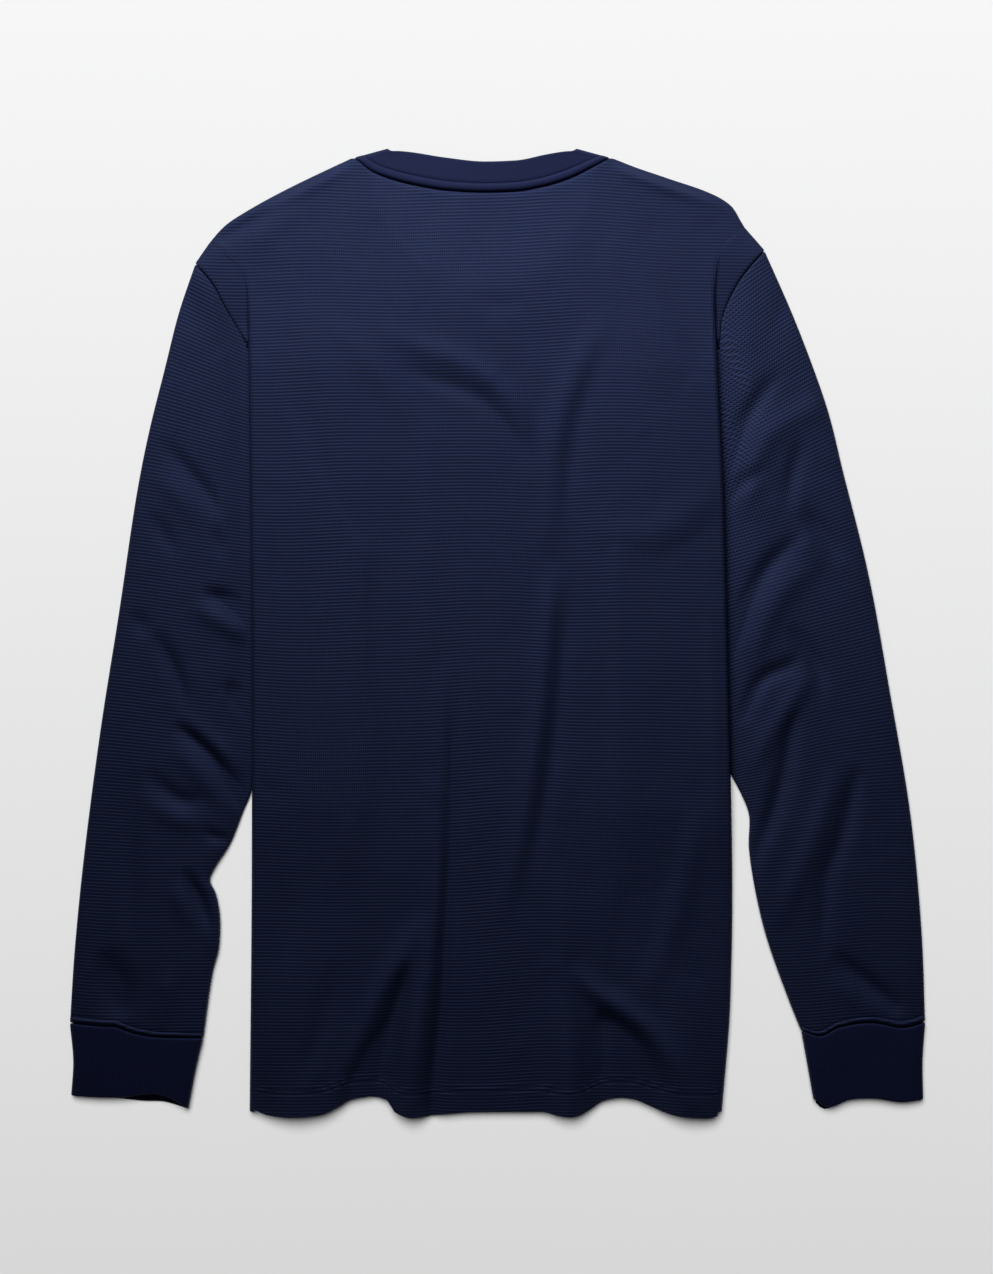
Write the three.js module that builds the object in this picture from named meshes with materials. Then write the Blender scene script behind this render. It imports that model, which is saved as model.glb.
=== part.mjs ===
// Long-sleeved waffle-knit thermal top, laid flat on a surface with its back facing up.
//
// Millimetres. +Z is up from the surface, +Y runs from the hem to the neck, +X is to the viewer's
// right. The origin is on the surface, under the middle of the garment's outline.
//
// Both sides of the body are tucked under, and the sleeves run down beside it from under its folded
// edges. From the surface up, the layers at a side are: lower sleeve, upper sleeve, tucked strip of
// the back, tucked strip of the front, front, back. Each piece is a wall made from a grid of points
// in the middle of its cloth, moved out by half the cloth on either side.

import * as THREE from "three";

// Cloth
const WALL = 1.4; // waffle knit
const RIB = 2.0; // the cuffs' and neckband's rib cloth, doubled
const AIR = 0.4; // between layers that lie on each other
const PITCH = WALL + AIR; // from the middle of one layer to the next
const SEAM_GAP = 0.4; // between the edges of two pieces that are sewn together
const ON_SURFACE = WALL / 2; // middle of a wall that lies on the surface

// Body
const BODY_LENGTH = 740; // neck corner to hem
const TUCK = 72; // width of each side that is tucked under
const FOLD = 3.5; // half-width of the back's rounded folded edge
const FLAT_EDGE = 4; // border of the front where it isn't folded
const INNER_FOLD = 0.9; // half-width of the front's folded edge
const INSIDE_FOLD = 2.4; // from the back's folded edge in to the front's
const SHOULDER_ROLL = 12; // over this length the back rolls down to the shoulder line
const SHOULDER_EDGE = 2.3; // height of the back's edge at the shoulder line
const MIDDLE_HEIGHT = 4.6; // back between the tucked sides
const HOLLOW = 5.3; // most that the back lies above the front, middle to middle
const TUCK_SLOPE = 27; // width over which the front comes down beside a tucked strip
const SPREAD = 8; // the back clears the front's highest place within this distance
const LEAST_AIR = 0.05; // added to the back's clearance where it rests on the front
const SOFTNESS = 0.6; // of the change from resting on the front to standing clear of it
const SAG_START = 50; // between these distances from a folded edge the back sinks from the edge's
const SAG_END = 133; // height to the middle's
const SEAM_TO_FOLD = 80; // length from the shoulder line to where the armhole meets the folded edge
const SEAM_MEETS_FOLD_Y = 226;
const FRONT_CLEARS_STRIP_Y = 183; // the front's edge lies above the tucked strip from here down
const FRONT_FOLDS_Y = 150; // and is folded under itself from here down
const FRONT_STRIP_Y = 130; // and its strip is as wide as the back's from here down
const TUCK_FULL_Y = 55; // the strips have their whole width from here down
const HEM_Y = -370;
const BODY_LEFT_X = -191; // the folded edges, about half-way down
const BODY_RIGHT_X = 176;
const FRONT_SHORTER = 5; // the front's hem lies this far inside the back's
const STRIP_SHORTER = 2; // and the tucked strips' hems lie this far inside the edge above them
const FRONT_SHOULDER_IN = 1.5; // and its shoulder tip this far inside the back's
const EDGE_IN = 0.6; // a panel's cut edge lies this far inside its seam line
const ROWS = { even: 0.3, top: 0.4, hem: 0.72 }; // shares of the length, as bodyRow uses them

// Sleeves and cuffs
const SLEEVE_LOFT = 3.4; // rise of the upper sleeve above the least that it can be
const SLEEVE_ROUND = 13; // width over which a sleeve rounds up from its edge
const SLEEVE_EMERGES = 28; // width over which a sleeve rises beside the body
const SLEEVE_FADE = 0.45; // share of a sleeve over which the slant of its ends fades out
const CUFF_LOFT = 3.2;
const CUFF_ROUND = 11;
const CUFF_FADE = 0.95;
const EDGE_LOFT = 0.3; // share of its loft that a tube keeps at its folded edges
const EDGE_ROUND = 2.4; // most that a tube's folded edge is rounded across
const SLANT_MOST = 0.35; // sine of the sharpest angle between a tube's edge and its sections

// Neck
const NECK_CENTRE = -12;
const NECK_TOP_Y = 368;
const BAND_WIDTH = 20;
const BAND_BACK_Z = 4.7; // neckband over the back neck
const BAND_FRONT_Z = RIB / 2; // neckband under it, on the surface

// Colours, as the photograph shows the dry cloth in soft light
const WAFFLE_NAVY = 0x1c2240;
const RIB_NAVY = 0x13162d;
const WAFFLE_ROUGHNESS = 0.95;
const RIB_ROUGHNESS = 0.9;

// Reads one column of a table against another, as a smooth curve that never overshoots its rows.
function smoothColumn(rows, key, value) {
  const sorted = [...rows].sort((a, b) => a[key] - b[key]);
  const at = sorted.map((row) => row[key]);
  const to = sorted.map((row) => row[value]);
  const last = at.length - 1;
  const slopes = at.slice(1).map((k, i) => (to[i + 1] - to[i]) / (k - at[i]));
  const tangents = at.map((_, i) => {
    if (i === 0) return slopes[0];
    if (i === last) return slopes[last - 1];
    const [before, after] = [slopes[i - 1], slopes[i]];
    return before * after <= 0 ? 0 : (2 * before * after) / (before + after);
  });
  return (k) => {
    const clamped = Math.min(Math.max(k, at[0]), at[last]);
    let i = 0;
    while (i < last - 1 && clamped > at[i + 1]) i += 1;
    const width = at[i + 1] - at[i];
    const t = (clamped - at[i]) / width;
    const rest = 1 - t;
    return (
      to[i] * (1 + 2 * t) * rest * rest +
      tangents[i] * width * t * rest * rest +
      to[i + 1] * t * t * (3 - 2 * t) -
      tangents[i + 1] * width * t * t * rest
    );
  };
}

// The same with straight lines between the rows.
function straightColumn(rows, key, value) {
  const sorted = [...rows].sort((a, b) => a[key] - b[key]);
  return (k) => {
    let i = 0;
    while (i < sorted.length - 2 && k > sorted[i + 1][key]) i += 1;
    const [from, to] = [sorted[i], sorted[i + 1]];
    const t = THREE.MathUtils.clamp((k - from[key]) / (to[key] - from[key]), 0, 1);
    return from[value] + (to[value] - from[value]) * t;
  };
}

// A smooth path in plan through a table's rows, read by the fraction of its length.
function pathThrough(rows) {
  const points = rows.map((row) => new THREE.Vector3(row.x, row.y, 0));
  const curve = new THREE.CatmullRomCurve3(points, false, "centripetal");
  curve.arcLengthDivisions = 400;
  return (fraction) => curve.getPointAt(THREE.MathUtils.clamp(fraction, 0, 1));
}

const mix = THREE.MathUtils.lerp;
const smooth = (from, to, value) => THREE.MathUtils.smoothstep(value, from, to);

// Zero below zero, then rising smoothly into a slope of one.
function softRamp(value, softness) {
  if (value <= 0) return 0;
  return value < softness ? (value * value) / (2 * softness) : value - softness / 2;
}

// Height of a rounded edge: 0 at the edge, 1 from the given width inwards.
function rounded(inside, width) {
  const left = 1 - THREE.MathUtils.clamp(inside / width, 0, 1);
  return Math.sqrt(1 - left * left);
}

// Outline of the body. Each side has its folded edge, the crease that carries the fold on up to the
// shoulder, the visible part of its armhole seam, and its shoulder line.
const LEFT = {
  outward: -1,
  tip: { x: -233.7, y: 286 },
  creaseTop: { x: -224.4, y: 300.7 },
  foldedEdge: [
    { y: 300.7, x: -224.4 },
    { y: 293.7, x: -213.5 },
    { y: 284.4, x: -201.5 },
    { y: 273.6, x: -195.3 },
    { y: 258, x: -193.6 },
    { y: 226, x: -192.6 },
    { y: 103, x: -191 },
    { y: -50, x: -189.5 },
    { y: -207, x: -190.3 },
    { y: HEM_Y, x: -191.8 },
  ],
  armhole: [
    { x: -233.7, y: 286 },
    { x: -220.5, y: 270.5 },
    { x: -211.2, y: 253.4 },
    { x: -202.7, y: 239 },
    { x: -194.9, y: 226 },
  ],
  shoulder: [
    { x: -233.7, y: 286 },
    { x: -224.4, y: 300.7 },
    { x: -211.2, y: 315.4 },
    { x: -197.2, y: 324.7 },
    { x: -164.7, y: 342.6 },
    { x: -125.9, y: 361.2 },
    { x: -113.5, y: 366.9 },
  ],
};

const RIGHT = {
  outward: 1,
  tip: { x: 206.5, y: 296.1 },
  creaseTop: { x: 191.8, y: 313.9 },
  foldedEdge: [
    { y: 313.9, x: 191.8 },
    { y: 307.7, x: 184.1 },
    { y: 299.9, x: 176.4 },
    { y: 282.9, x: 170.3 },
    { y: 258, x: 168.3 },
    { y: 226, x: 169.2 },
    { y: 103, x: 174.8 },
    { y: -50, x: 178.6 },
    { y: -207, x: 181.7 },
    { y: -284, x: 180.2 },
    { y: HEM_Y, x: 173.6 },
  ],
  armhole: [
    { x: 206.5, y: 296.1 },
    { x: 196.5, y: 285.2 },
    { x: 186.4, y: 272 },
    { x: 178.6, y: 257.3 },
    { x: 173.5, y: 243 },
    { x: 171.5, y: 226 },
  ],
  shoulder: [
    { x: 206.5, y: 296.1 },
    { x: 191.8, y: 313.9 },
    { x: 181.7, y: 330.2 },
    { x: 167, y: 339.4 },
    { x: 129.8, y: 352.6 },
    { x: 106.6, y: 360.4 },
    { x: 89.5, y: 367.1 },
  ],
};

for (const side of [LEFT, RIGHT]) {
  side.edgeX = smoothColumn(side.foldedEdge, "y", "x");
  side.armholePath = pathThrough(side.armhole);
  side.shoulderY = smoothColumn(side.shoulder, "x", "y");
}

// Back neck seam and the neckband's free edge above it
const NECK_SEAM = [
  { x: -110.4, y: 368.1 },
  { x: -97.3, y: 357.3 },
  { x: -79.4, y: 350.3 },
  { x: -60.1, y: 345.7 },
  { x: -36.8, y: 342.2 },
  { x: -11.2, y: 341 },
  { x: 13.6, y: 341.8 },
  { x: 36.8, y: 345.7 },
  { x: 56.2, y: 351.9 },
  { x: 73.2, y: 360.4 },
  { x: 86.4, y: 368.1 },
];
const BAND_EDGE = [
  { x: -81.8, y: 375.9 },
  { x: -63.9, y: 372.8 },
  { x: -40.7, y: 368.9 },
  { x: -9.7, y: 365.8 },
  { x: 13.6, y: 366.6 },
  { x: 36.8, y: 371.2 },
  { x: 57.7, y: 375.9 },
];
const neckSeamY = smoothColumn(NECK_SEAM, "x", "y");
const bandEdgeY = smoothColumn(BAND_EDGE, "x", "y");

// Front neckline, under the back: half its width at each height
const FRONT_NECK = [
  { half: 98.4, y: 367 },
  { half: 91, y: 324 },
  { half: 70, y: 278 },
  { half: 35, y: 254 },
  { half: 0, y: 247 },
];
// Sections of the neckband under the back: the half-width of the front neckline where each starts,
// and its free edge
const FRONT_BAND = [
  { seamHalf: 95, edgeHalf: 71, edgeY: 352 },
  { seamHalf: 91, edgeHalf: 69.6, edgeY: 331.7 },
  { seamHalf: 81, edgeHalf: 63, edgeY: 310 },
  { seamHalf: 68, edgeHalf: 52, edgeY: 293 },
  { seamHalf: 50, edgeHalf: 38, edgeY: 279.5 },
  { seamHalf: 26, edgeHalf: 20, edgeY: 270.5 },
];
const frontNeckY = smoothColumn(FRONT_NECK, "half", "y");

// Lower edge of the body, which waves where the cloth stands in folds
const HEM = [
  { x: -191.8, y: -368.1 },
  { x: -182.5, y: -372 },
  { x: -163.1, y: -373.9 },
  { x: -140.7, y: -372.4 },
  { x: -124.4, y: -365.8 },
  { x: -114.3, y: -360.4 },
  { x: -99.6, y: -358.4 },
  { x: -87.2, y: -360.8 },
  { x: -80.5, y: -370.2 },
  { x: -67, y: -374.3 },
  { x: -43, y: -372 },
  { x: -20.5, y: -370.4 },
  { x: 33.7, y: -370.1 },
  { x: 44.6, y: -372.8 },
  { x: 55.4, y: -373.6 },
  { x: 63.9, y: -371.6 },
  { x: 72.5, y: -366.6 },
  { x: 81.8, y: -361.2 },
  { x: 94.2, y: -359.2 },
  { x: 104.2, y: -360.4 },
  { x: 118.2, y: -365.8 },
  { x: 131.4, y: -370.8 },
  { x: 145.3, y: -373.6 },
  { x: 166.2, y: -374.7 },
  { x: 173.6, y: -373.2 },
];
const hemY = smoothColumn(HEM, "x", "y");

// How the sides are tucked, by height: the width of cloth turned under, the number of sleeve layers
// below it, and the height of the back's folded edge.
const TUCKS = [
  { y: 315, width: 0, below: 2, edge: 5.6 },
  { y: 262, width: 0, below: 2, edge: 6.8 },
  { y: SEAM_MEETS_FOLD_Y, width: 0, below: 2, edge: 8.9 },
  { y: 205, width: 5, below: 2, edge: 10.1 },
  { y: FRONT_CLEARS_STRIP_Y, width: 10, below: 2, edge: 10.1 },
  { y: 160, width: 18, below: 2, edge: 10.1 },
  { y: 140, width: 27, below: 2, edge: 10.1 },
  { y: 120, width: 34, below: 2, edge: 10.1 },
  { y: 75, width: 61, below: 2, edge: 10.1 },
  { y: TUCK_FULL_Y, width: TUCK, below: 2, edge: 10.1 },
  { y: -129, width: TUCK, below: 2, edge: 10.1 },
  { y: -191, width: TUCK, below: 0, edge: 6.5 },
  { y: -375, width: TUCK, below: 0, edge: 7.2 },
];
const tuckWidth = straightColumn(TUCKS, "y", "width");
const layersBelow = straightColumn(TUCKS, "y", "below");
const foldedHeight = straightColumn(TUCKS, "y", "edge");
const layer = (count) => ON_SURFACE + count * PITCH;

// Folds of the back: a row for each place along a fold, with its half-width and height there. A
// trough has a negative height.
const BODY_FOLDS = {
  underNeckLeft: [
    { x: -60, y: 216, wide: 9, high: 0 },
    { x: -24, y: 191, wide: 10, high: 1.3 },
    { x: 2, y: 172, wide: 10, high: 1.3 },
    { x: 20, y: 132, wide: 9, high: 0 },
  ],
  underNeckRight: [
    { x: 84, y: 232, wide: 9, high: 0 },
    { x: 54, y: 174, wide: 10, high: 1.4 },
    { x: 44, y: 122, wide: 10, high: 1.4 },
    { x: 38, y: 66, wide: 9, high: 0 },
  ],
  middleRidge: [
    { x: 42, y: 44, wide: 9, high: 0 },
    { x: 34, y: -14, wide: 10, high: 1.6 },
    { x: 24, y: -90, wide: 10, high: 1.8 },
    { x: 12, y: -160, wide: 9, high: 1.2 },
    { x: 2, y: -200, wide: 9, high: 0 },
  ],
  leftTrough: [
    { x: -116, y: 30, wide: 13, high: 0 },
    { x: -128, y: -67, wide: 14, high: -1.6 },
    { x: -137, y: -129, wide: 13, high: -1.6 },
    { x: -143, y: -185, wide: 12, high: 0 },
  ],
  longTrough: [
    { x: -28, y: -60, wide: 8, high: 0 },
    { x: -33, y: -168, wide: 8, high: -1.6 },
    { x: -39, y: -284, wide: 8, high: -2.6 },
    { x: -50, y: -350, wide: 9, high: -2.6 },
    { x: -54, y: -374, wide: 9, high: -2 },
  ],
  rightTrough: [
    { x: 132, y: -75, wide: 11, high: 0 },
    { x: 126, y: -168, wide: 12, high: -1.8 },
    { x: 110, y: -207, wide: 12, high: -2 },
    { x: 90, y: -285, wide: 11, high: -1 },
    { x: 80, y: -310, wide: 10, high: 0 },
  ],
  hemLobeLeft: [
    { x: -152, y: -215, wide: 24, high: 0 },
    { x: -153, y: -300, wide: 26, high: 2.4 },
    { x: -155, y: -376, wide: 27, high: 5.6 },
  ],
  hemLobeMiddleLeft: [
    { x: -58, y: -215, wide: 9, high: 0 },
    { x: -66, y: -262, wide: 9, high: 2.4 },
    { x: -64, y: -316, wide: 11, high: 4.2 },
    { x: -69, y: -376, wide: 13, high: 6 },
  ],
  hemLobeMiddleRight: [
    { x: 52, y: -200, wide: 10, high: 0 },
    { x: 56, y: -270, wide: 11, high: 2.6 },
    { x: 56, y: -376, wide: 13, high: 5 },
  ],
  hemLobeRight: [
    { x: 128, y: -240, wide: 18, high: 0 },
    { x: 140, y: -300, wide: 22, high: 2.2 },
    { x: 148, y: -376, wide: 24, high: 5.2 },
  ],
  hemValleyLeft: [
    { x: -84, y: -285, wide: 8, high: 0 },
    { x: -92, y: -325, wide: 9, high: -1.6 },
    { x: -100, y: -374, wide: 13, high: -3.2 },
  ],
  hemValleyRight: [
    { x: 86, y: -300, wide: 9, high: 0 },
    { x: 90, y: -335, wide: 12, high: -1.6 },
    { x: 94, y: -374, wide: 16, high: -3 },
  ],
};

// Folds of each sleeve, in the same columns
const LEFT_SLEEVE_FOLDS = {
  upper: [
    { x: -254, y: 142, wide: 8, high: 0 },
    { x: -236, y: 118, wide: 8, high: -1.2 },
    { x: -218, y: 100, wide: 8, high: 0 },
  ],
  elbowUpper: [
    { x: -216, y: 30, wide: 8, high: 0 },
    { x: -203, y: 18, wide: 8, high: -1.3 },
    { x: -190, y: 10, wide: 8, high: 0 },
  ],
  elbow: [
    { x: -250, y: -62, wide: 8, high: 0 },
    { x: -224, y: -86, wide: 8, high: -1.7 },
    { x: -200, y: -116, wide: 8, high: 0 },
  ],
  elbowLower: [
    { x: -274, y: -100, wide: 8, high: 0 },
    { x: -246, y: -132, wide: 8, high: -1.3 },
    { x: -226, y: -142, wide: 8, high: 0 },
  ],
  forearm: [
    { x: -286, y: -118, wide: 10, high: 0 },
    { x: -288, y: -170, wide: 11, high: -1.2 },
    { x: -290, y: -226, wide: 10, high: 0 },
  ],
};
const RIGHT_SLEEVE_FOLDS = {
  upper: [
    { x: 212, y: 190, wide: 8, high: 0 },
    { x: 190, y: 160, wide: 8, high: -1.4 },
    { x: 178, y: 130, wide: 8, high: 0 },
  ],
  upperRidge: [
    { x: 246, y: 176, wide: 10, high: 0 },
    { x: 214, y: 152, wide: 10, high: 1 },
    { x: 188, y: 112, wide: 9, high: 0 },
  ],
  elbowUpper: [
    { x: 228, y: 70, wide: 8, high: 0 },
    { x: 206, y: 46, wide: 8, high: -1.7 },
    { x: 184, y: -4, wide: 8, high: 0 },
  ],
  elbow: [
    { x: 232, y: -66, wide: 9, high: 0 },
    { x: 220, y: -108, wide: 9, high: -1.8 },
    { x: 206, y: -160, wide: 8, high: 0 },
  ],
  forearm: [
    { x: 274, y: -118, wide: 9, high: 0 },
    { x: 266, y: -160, wide: 10, high: -1.3 },
    { x: 250, y: -232, wide: 9, high: 0 },
  ],
};

// Sum of the folds at one place: each falls off like a bell to either side of its line.
function foldHeight(folds, x, y) {
  let sum = 0;
  for (const rows of Object.values(folds)) {
    let nearest = { distance: Infinity };
    for (let i = 0; i < rows.length - 1; i += 1) {
      const [from, to] = [rows[i], rows[i + 1]];
      const [alongX, alongY] = [to.x - from.x, to.y - from.y];
      const share = ((x - from.x) * alongX + (y - from.y) * alongY) / (alongX ** 2 + alongY ** 2);
      const t = THREE.MathUtils.clamp(share, 0, 1);
      const distance = Math.hypot(x - from.x - alongX * t, y - from.y - alongY * t);
      if (distance < nearest.distance) {
        nearest = { distance, wide: mix(from.wide, to.wide, t), high: mix(from.high, to.high, t) };
      }
    }
    sum += nearest.high * Math.exp(-((nearest.distance / nearest.wide) ** 2));
  }
  return sum;
}

// The folded edge of a side, carried straight on up past the armhole
const foldLineX = (side, y) => side.edgeX(Math.min(y, SEAM_MEETS_FOLD_Y));

// Distance from the nearer folded edge towards the middle of the body
function insideBody(x, y) {
  return Math.min(x - foldLineX(LEFT, y), foldLineX(RIGHT, y) - x);
}

// Height of the front before the back's folds lift it: on the surface, and over the tucked strips
function frontRest(x, y) {
  const before = smooth(FRONT_CLEARS_STRIP_Y, SEAM_MEETS_FOLD_Y, y);
  const overStrips = mix(layer(layersBelow(y) + 2), ON_SURFACE, before);
  const start = tuckWidth(y) + 4;
  const down = smooth(start, start + TUCK_SLOPE, insideBody(x, y));
  return mix(overStrips, ON_SURFACE, down);
}

function backHeight(x, y) {
  const inside = insideBody(x, y);
  const sag = smooth(SAG_START, SAG_END, inside);
  const target = mix(foldedHeight(y), MIDDLE_HEIGHT, sag) + foldHeight(BODY_FOLDS, x, y);
  const steps = [-SPREAD, 0, SPREAD];
  const around = steps.flatMap((i) => steps.map((j) => frontRest(x + i, y + j)));
  const least = Math.max(...around) + PITCH;
  return least + LEAST_AIR + softRamp(target - least, SOFTNESS);
}

function frontHeight(x, y) {
  const rest = frontRest(x, y);
  const lift = softRamp(backHeight(x, y) - HOLLOW - rest, SOFTNESS);
  return rest + lift * smooth(2, TUCK_SLOPE, insideBody(x, y));
}

// Height of the upper sleeve beside the body, before its own edges round it off
function sleeveHeight(side, x, y) {
  const outside = (x - foldLineX(side, y)) * side.outward;
  return layer(1) + SLEEVE_LOFT * smooth(0, SLEEVE_EMERGES, outside);
}

// A closed wall around a grid of points in the middle of the cloth. A ring's rows close on
// themselves. The wall is as thick as the cloth and ends square at its edges.
function clothWall(rows, thickness, ring = false) {
  const height = rows.length;
  const width = rows[0].length;
  const column = (c) => (ring ? (c + width) % width : THREE.MathUtils.clamp(c, 0, width - 1));
  const row = (r) => THREE.MathUtils.clamp(r, 0, height - 1);
  const across = new THREE.Vector3();
  const along = new THREE.Vector3();
  const normal = new THREE.Vector3();
  const skins = [[], []];
  for (let r = 0; r < height; r += 1) {
    for (let c = 0; c < width; c += 1) {
      across.subVectors(rows[r][column(c + 1)], rows[r][column(c - 1)]);
      along.subVectors(rows[row(r + 1)][c], rows[row(r - 1)][c]);
      normal.crossVectors(across, along).setLength(thickness / 2);
      skins[0].push(rows[r][c].clone().add(normal));
      skins[1].push(rows[r][c].clone().sub(normal));
    }
  }
  const count = height * width;
  const at = (r, c, skin) => skin * count + r * width + column(c);
  const triangles = [];
  const quad = (a, b, c, d) => triangles.push(a, b, c, a, c, d);
  const columns = ring ? width : width - 1;
  for (let c = 0; c < columns; c += 1) {
    for (let r = 0; r < height - 1; r += 1) {
      quad(at(r, c, 0), at(r, c + 1, 0), at(r + 1, c + 1, 0), at(r + 1, c, 0));
      quad(at(r, c, 1), at(r + 1, c, 1), at(r + 1, c + 1, 1), at(r, c + 1, 1));
    }
    const end = height - 1;
    quad(at(0, c, 0), at(0, c, 1), at(0, c + 1, 1), at(0, c + 1, 0));
    quad(at(end, c, 0), at(end, c + 1, 0), at(end, c + 1, 1), at(end, c, 1));
  }
  for (let r = 0; r < height - 1 && !ring; r += 1) {
    const end = width - 1;
    quad(at(r, 0, 0), at(r + 1, 0, 0), at(r + 1, 0, 1), at(r, 0, 1));
    quad(at(r, end, 0), at(r, end, 1), at(r + 1, end, 1), at(r + 1, end, 0));
  }
  const points = skins.flat();
  if (signedVolume(points, triangles) < 0) triangles.reverse();
  const geometry = new THREE.BufferGeometry();
  geometry.setFromPoints(points);
  geometry.setIndex(triangles);
  geometry.computeVertexNormals();
  return geometry;
}

function signedVolume(points, triangles) {
  let sum = 0;
  for (let i = 0; i < triangles.length; i += 3) {
    const [a, b, c] = [points[triangles[i]], points[triangles[i + 1]], points[triangles[i + 2]]];
    sum += a.dot(new THREE.Vector3().crossVectors(b, c));
  }
  return sum / 6;
}

const fractions = (steps) => Array.from({ length: steps + 1 }, (_, i) => i / steps);

// Rows of the body from the shoulder line down. Those above the armhole's meeting with the fold are
// given by their distance from the shoulder line, those below by their height at the sides.
function bodyRows(fromShoulder, heights) {
  const meets = SEAM_TO_FOLD / BODY_LENGTH;
  const upper = fromShoulder.map((distance) => ({
    distance,
    down: distance / BODY_LENGTH,
    beside: distance / SEAM_TO_FOLD,
  }));
  const lower = heights.map((y) => {
    const share = (SEAM_MEETS_FOLD_Y - y) / (SEAM_MEETS_FOLD_Y - HEM_Y);
    return { distance: Infinity, down: mix(meets, 1, share), beside: 1, y };
  });
  return [...upper, ...lower];
}

const BACK_ROWS = bodyRows(
  [0, 1, 3, 7, 13, 23, 36, 50, 65],
  [
    226, 205, 183, 160, 140, 120, 97, 75, 55, 20, -15, -50, -90, -129, -160, -191, -215, -239,
    -262, -284, -305, -324, -341, -356, HEM_Y,
  ],
);
const FRONT_ROWS = bodyRows(
  [0, 13, 36, 60],
  [
    226, 205, 183, 160, 140, 120, 97, 75, 55, -30, -129, -191, -239, -284, -324, -350,
    HEM_Y + FRONT_SHORTER,
  ],
);

// Place of the crease or folded edge in a row
function edgeOf(side, row) {
  const y = row.y ?? mix(side.creaseTop.y, SEAM_MEETS_FOLD_Y, row.beside);
  return { x: side.edgeX(y) - (side.outward * WALL) / 2, y };
}

// Places the columns between the two sides of a row. Each column has its top point and its place
// across the body. Near the top a row follows the shoulders and the neck, near the hem it follows
// the hem, and between them it is straight. The columns are evenly spaced from a little way down.
function bodyRow(columns, row, left, right) {
  const settle = smooth(0, ROWS.even, row.down);
  const nearTop = 1 - smooth(0, ROWS.top, row.down);
  const nearHem = smooth(ROWS.hem, 1, row.down);
  const [first, last] = [columns[0], columns[columns.length - 1]];
  const freeX = ({ top, across }) => mix(top.x, mix(BODY_LEFT_X, BODY_RIGHT_X, across), settle);
  const [leftPull, rightPull] = [left.x - freeX(first), right.x - freeX(last)];
  return columns.map((column) => {
    const { top, across } = column;
    const pull = leftPull * (1 - across) ** 8 + rightPull * across ** 8;
    const topOffset = top.y - mix(first.top.y, last.top.y, across);
    const hemOffset = hemY(mix(HEM[0].x, HEM.at(-1).x, across)) - HEM_Y;
    const y = mix(left.y, right.y, across) + topOffset * nearTop + hemOffset * nearHem;
    return { x: freeX(column) + pull, y };
  });
}

// Where the hem's edge rises above a tucked strip, the strip's hem rises with it and stays hidden.
function stripRise(row, x, away) {
  const rise = Math.max(hemY(x) - HEM_Y + STRIP_SHORTER, 0);
  return rise * smooth(ROWS.hem, 1, row.down) * smooth(0, 4 * FOLD, away);
}

// How far a row's bend towards the shoulder line carries the inner end of its side
function shoulderLean(side, fromEdge, row) {
  const start = fromEdge.x - side.outward * fromEdge.inset;
  return (side.shoulderY(start) - fromEdge.y) * (1 - smooth(0, ROWS.top, row.down));
}

// Back panel: its folded edges, with the strips tucked under them, and above those the parts beside
// the creases that reach the armhole seams.
function backSide(side, row) {
  const edge = edgeOf(side, row);
  const inward = -side.outward;
  const roll = rounded(row.distance, SHOULDER_ROLL);
  const high = mix(SHOULDER_EDGE, backHeight(edge.x + inward * FOLD, edge.y), roll);
  const tucked = row.y !== undefined && row.y < SEAM_MEETS_FOLD_Y;
  const seam = side.armholePath(row.beside);
  const reach = Math.hypot(seam.x - edge.x, seam.y - edge.y) - SEAM_GAP;
  const direction = new THREE.Vector2(seam.x - edge.x, seam.y - edge.y).normalize();
  const beside = mix(sleeveHeight(side, seam.x, seam.y), layer(2), smooth(0.75, 1, row.beside));
  const low = tucked ? layer(layersBelow(edge.y)) : mix(SHOULDER_EDGE, beside, roll);
  const middle = (high + low) / 2;
  const lean = shoulderLean(side, { ...side.creaseTop, inset: FOLD }, row);
  const path = fractions(4).map((t) => {
    const turn = (t * Math.PI) / 2;
    const inset = 1 - Math.sin(turn);
    const z = mix(middle, high, Math.cos(turn));
    return new THREE.Vector3(edge.x + inward * FOLD * inset, edge.y + lean * inset, z);
  });
  const foot = tucked ? FOLD : Math.min(2.5, reach * 0.4);
  for (const t of fractions(3).slice(1)) {
    const turn = (t * Math.PI) / 2;
    const z = mix(middle, low, Math.sin(turn));
    const away = foot * (1 - Math.cos(turn));
    path.push(besideEdge(away, z));
  }
  const end = tucked ? Math.max(tuckWidth(edge.y), FOLD + 0.6) : reach;
  for (const t of fractions(3).slice(1)) {
    path.push(besideEdge(mix(foot, end, t), low));
  }
  return path;

  function besideEdge(away, z) {
    if (tucked) {
      const x = edge.x + inward * away;
      return new THREE.Vector3(x, edge.y + stripRise(row, x, away), z);
    }
    return new THREE.Vector3(edge.x + direction.x * away, edge.y + direction.y * away, z);
  }
}

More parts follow.
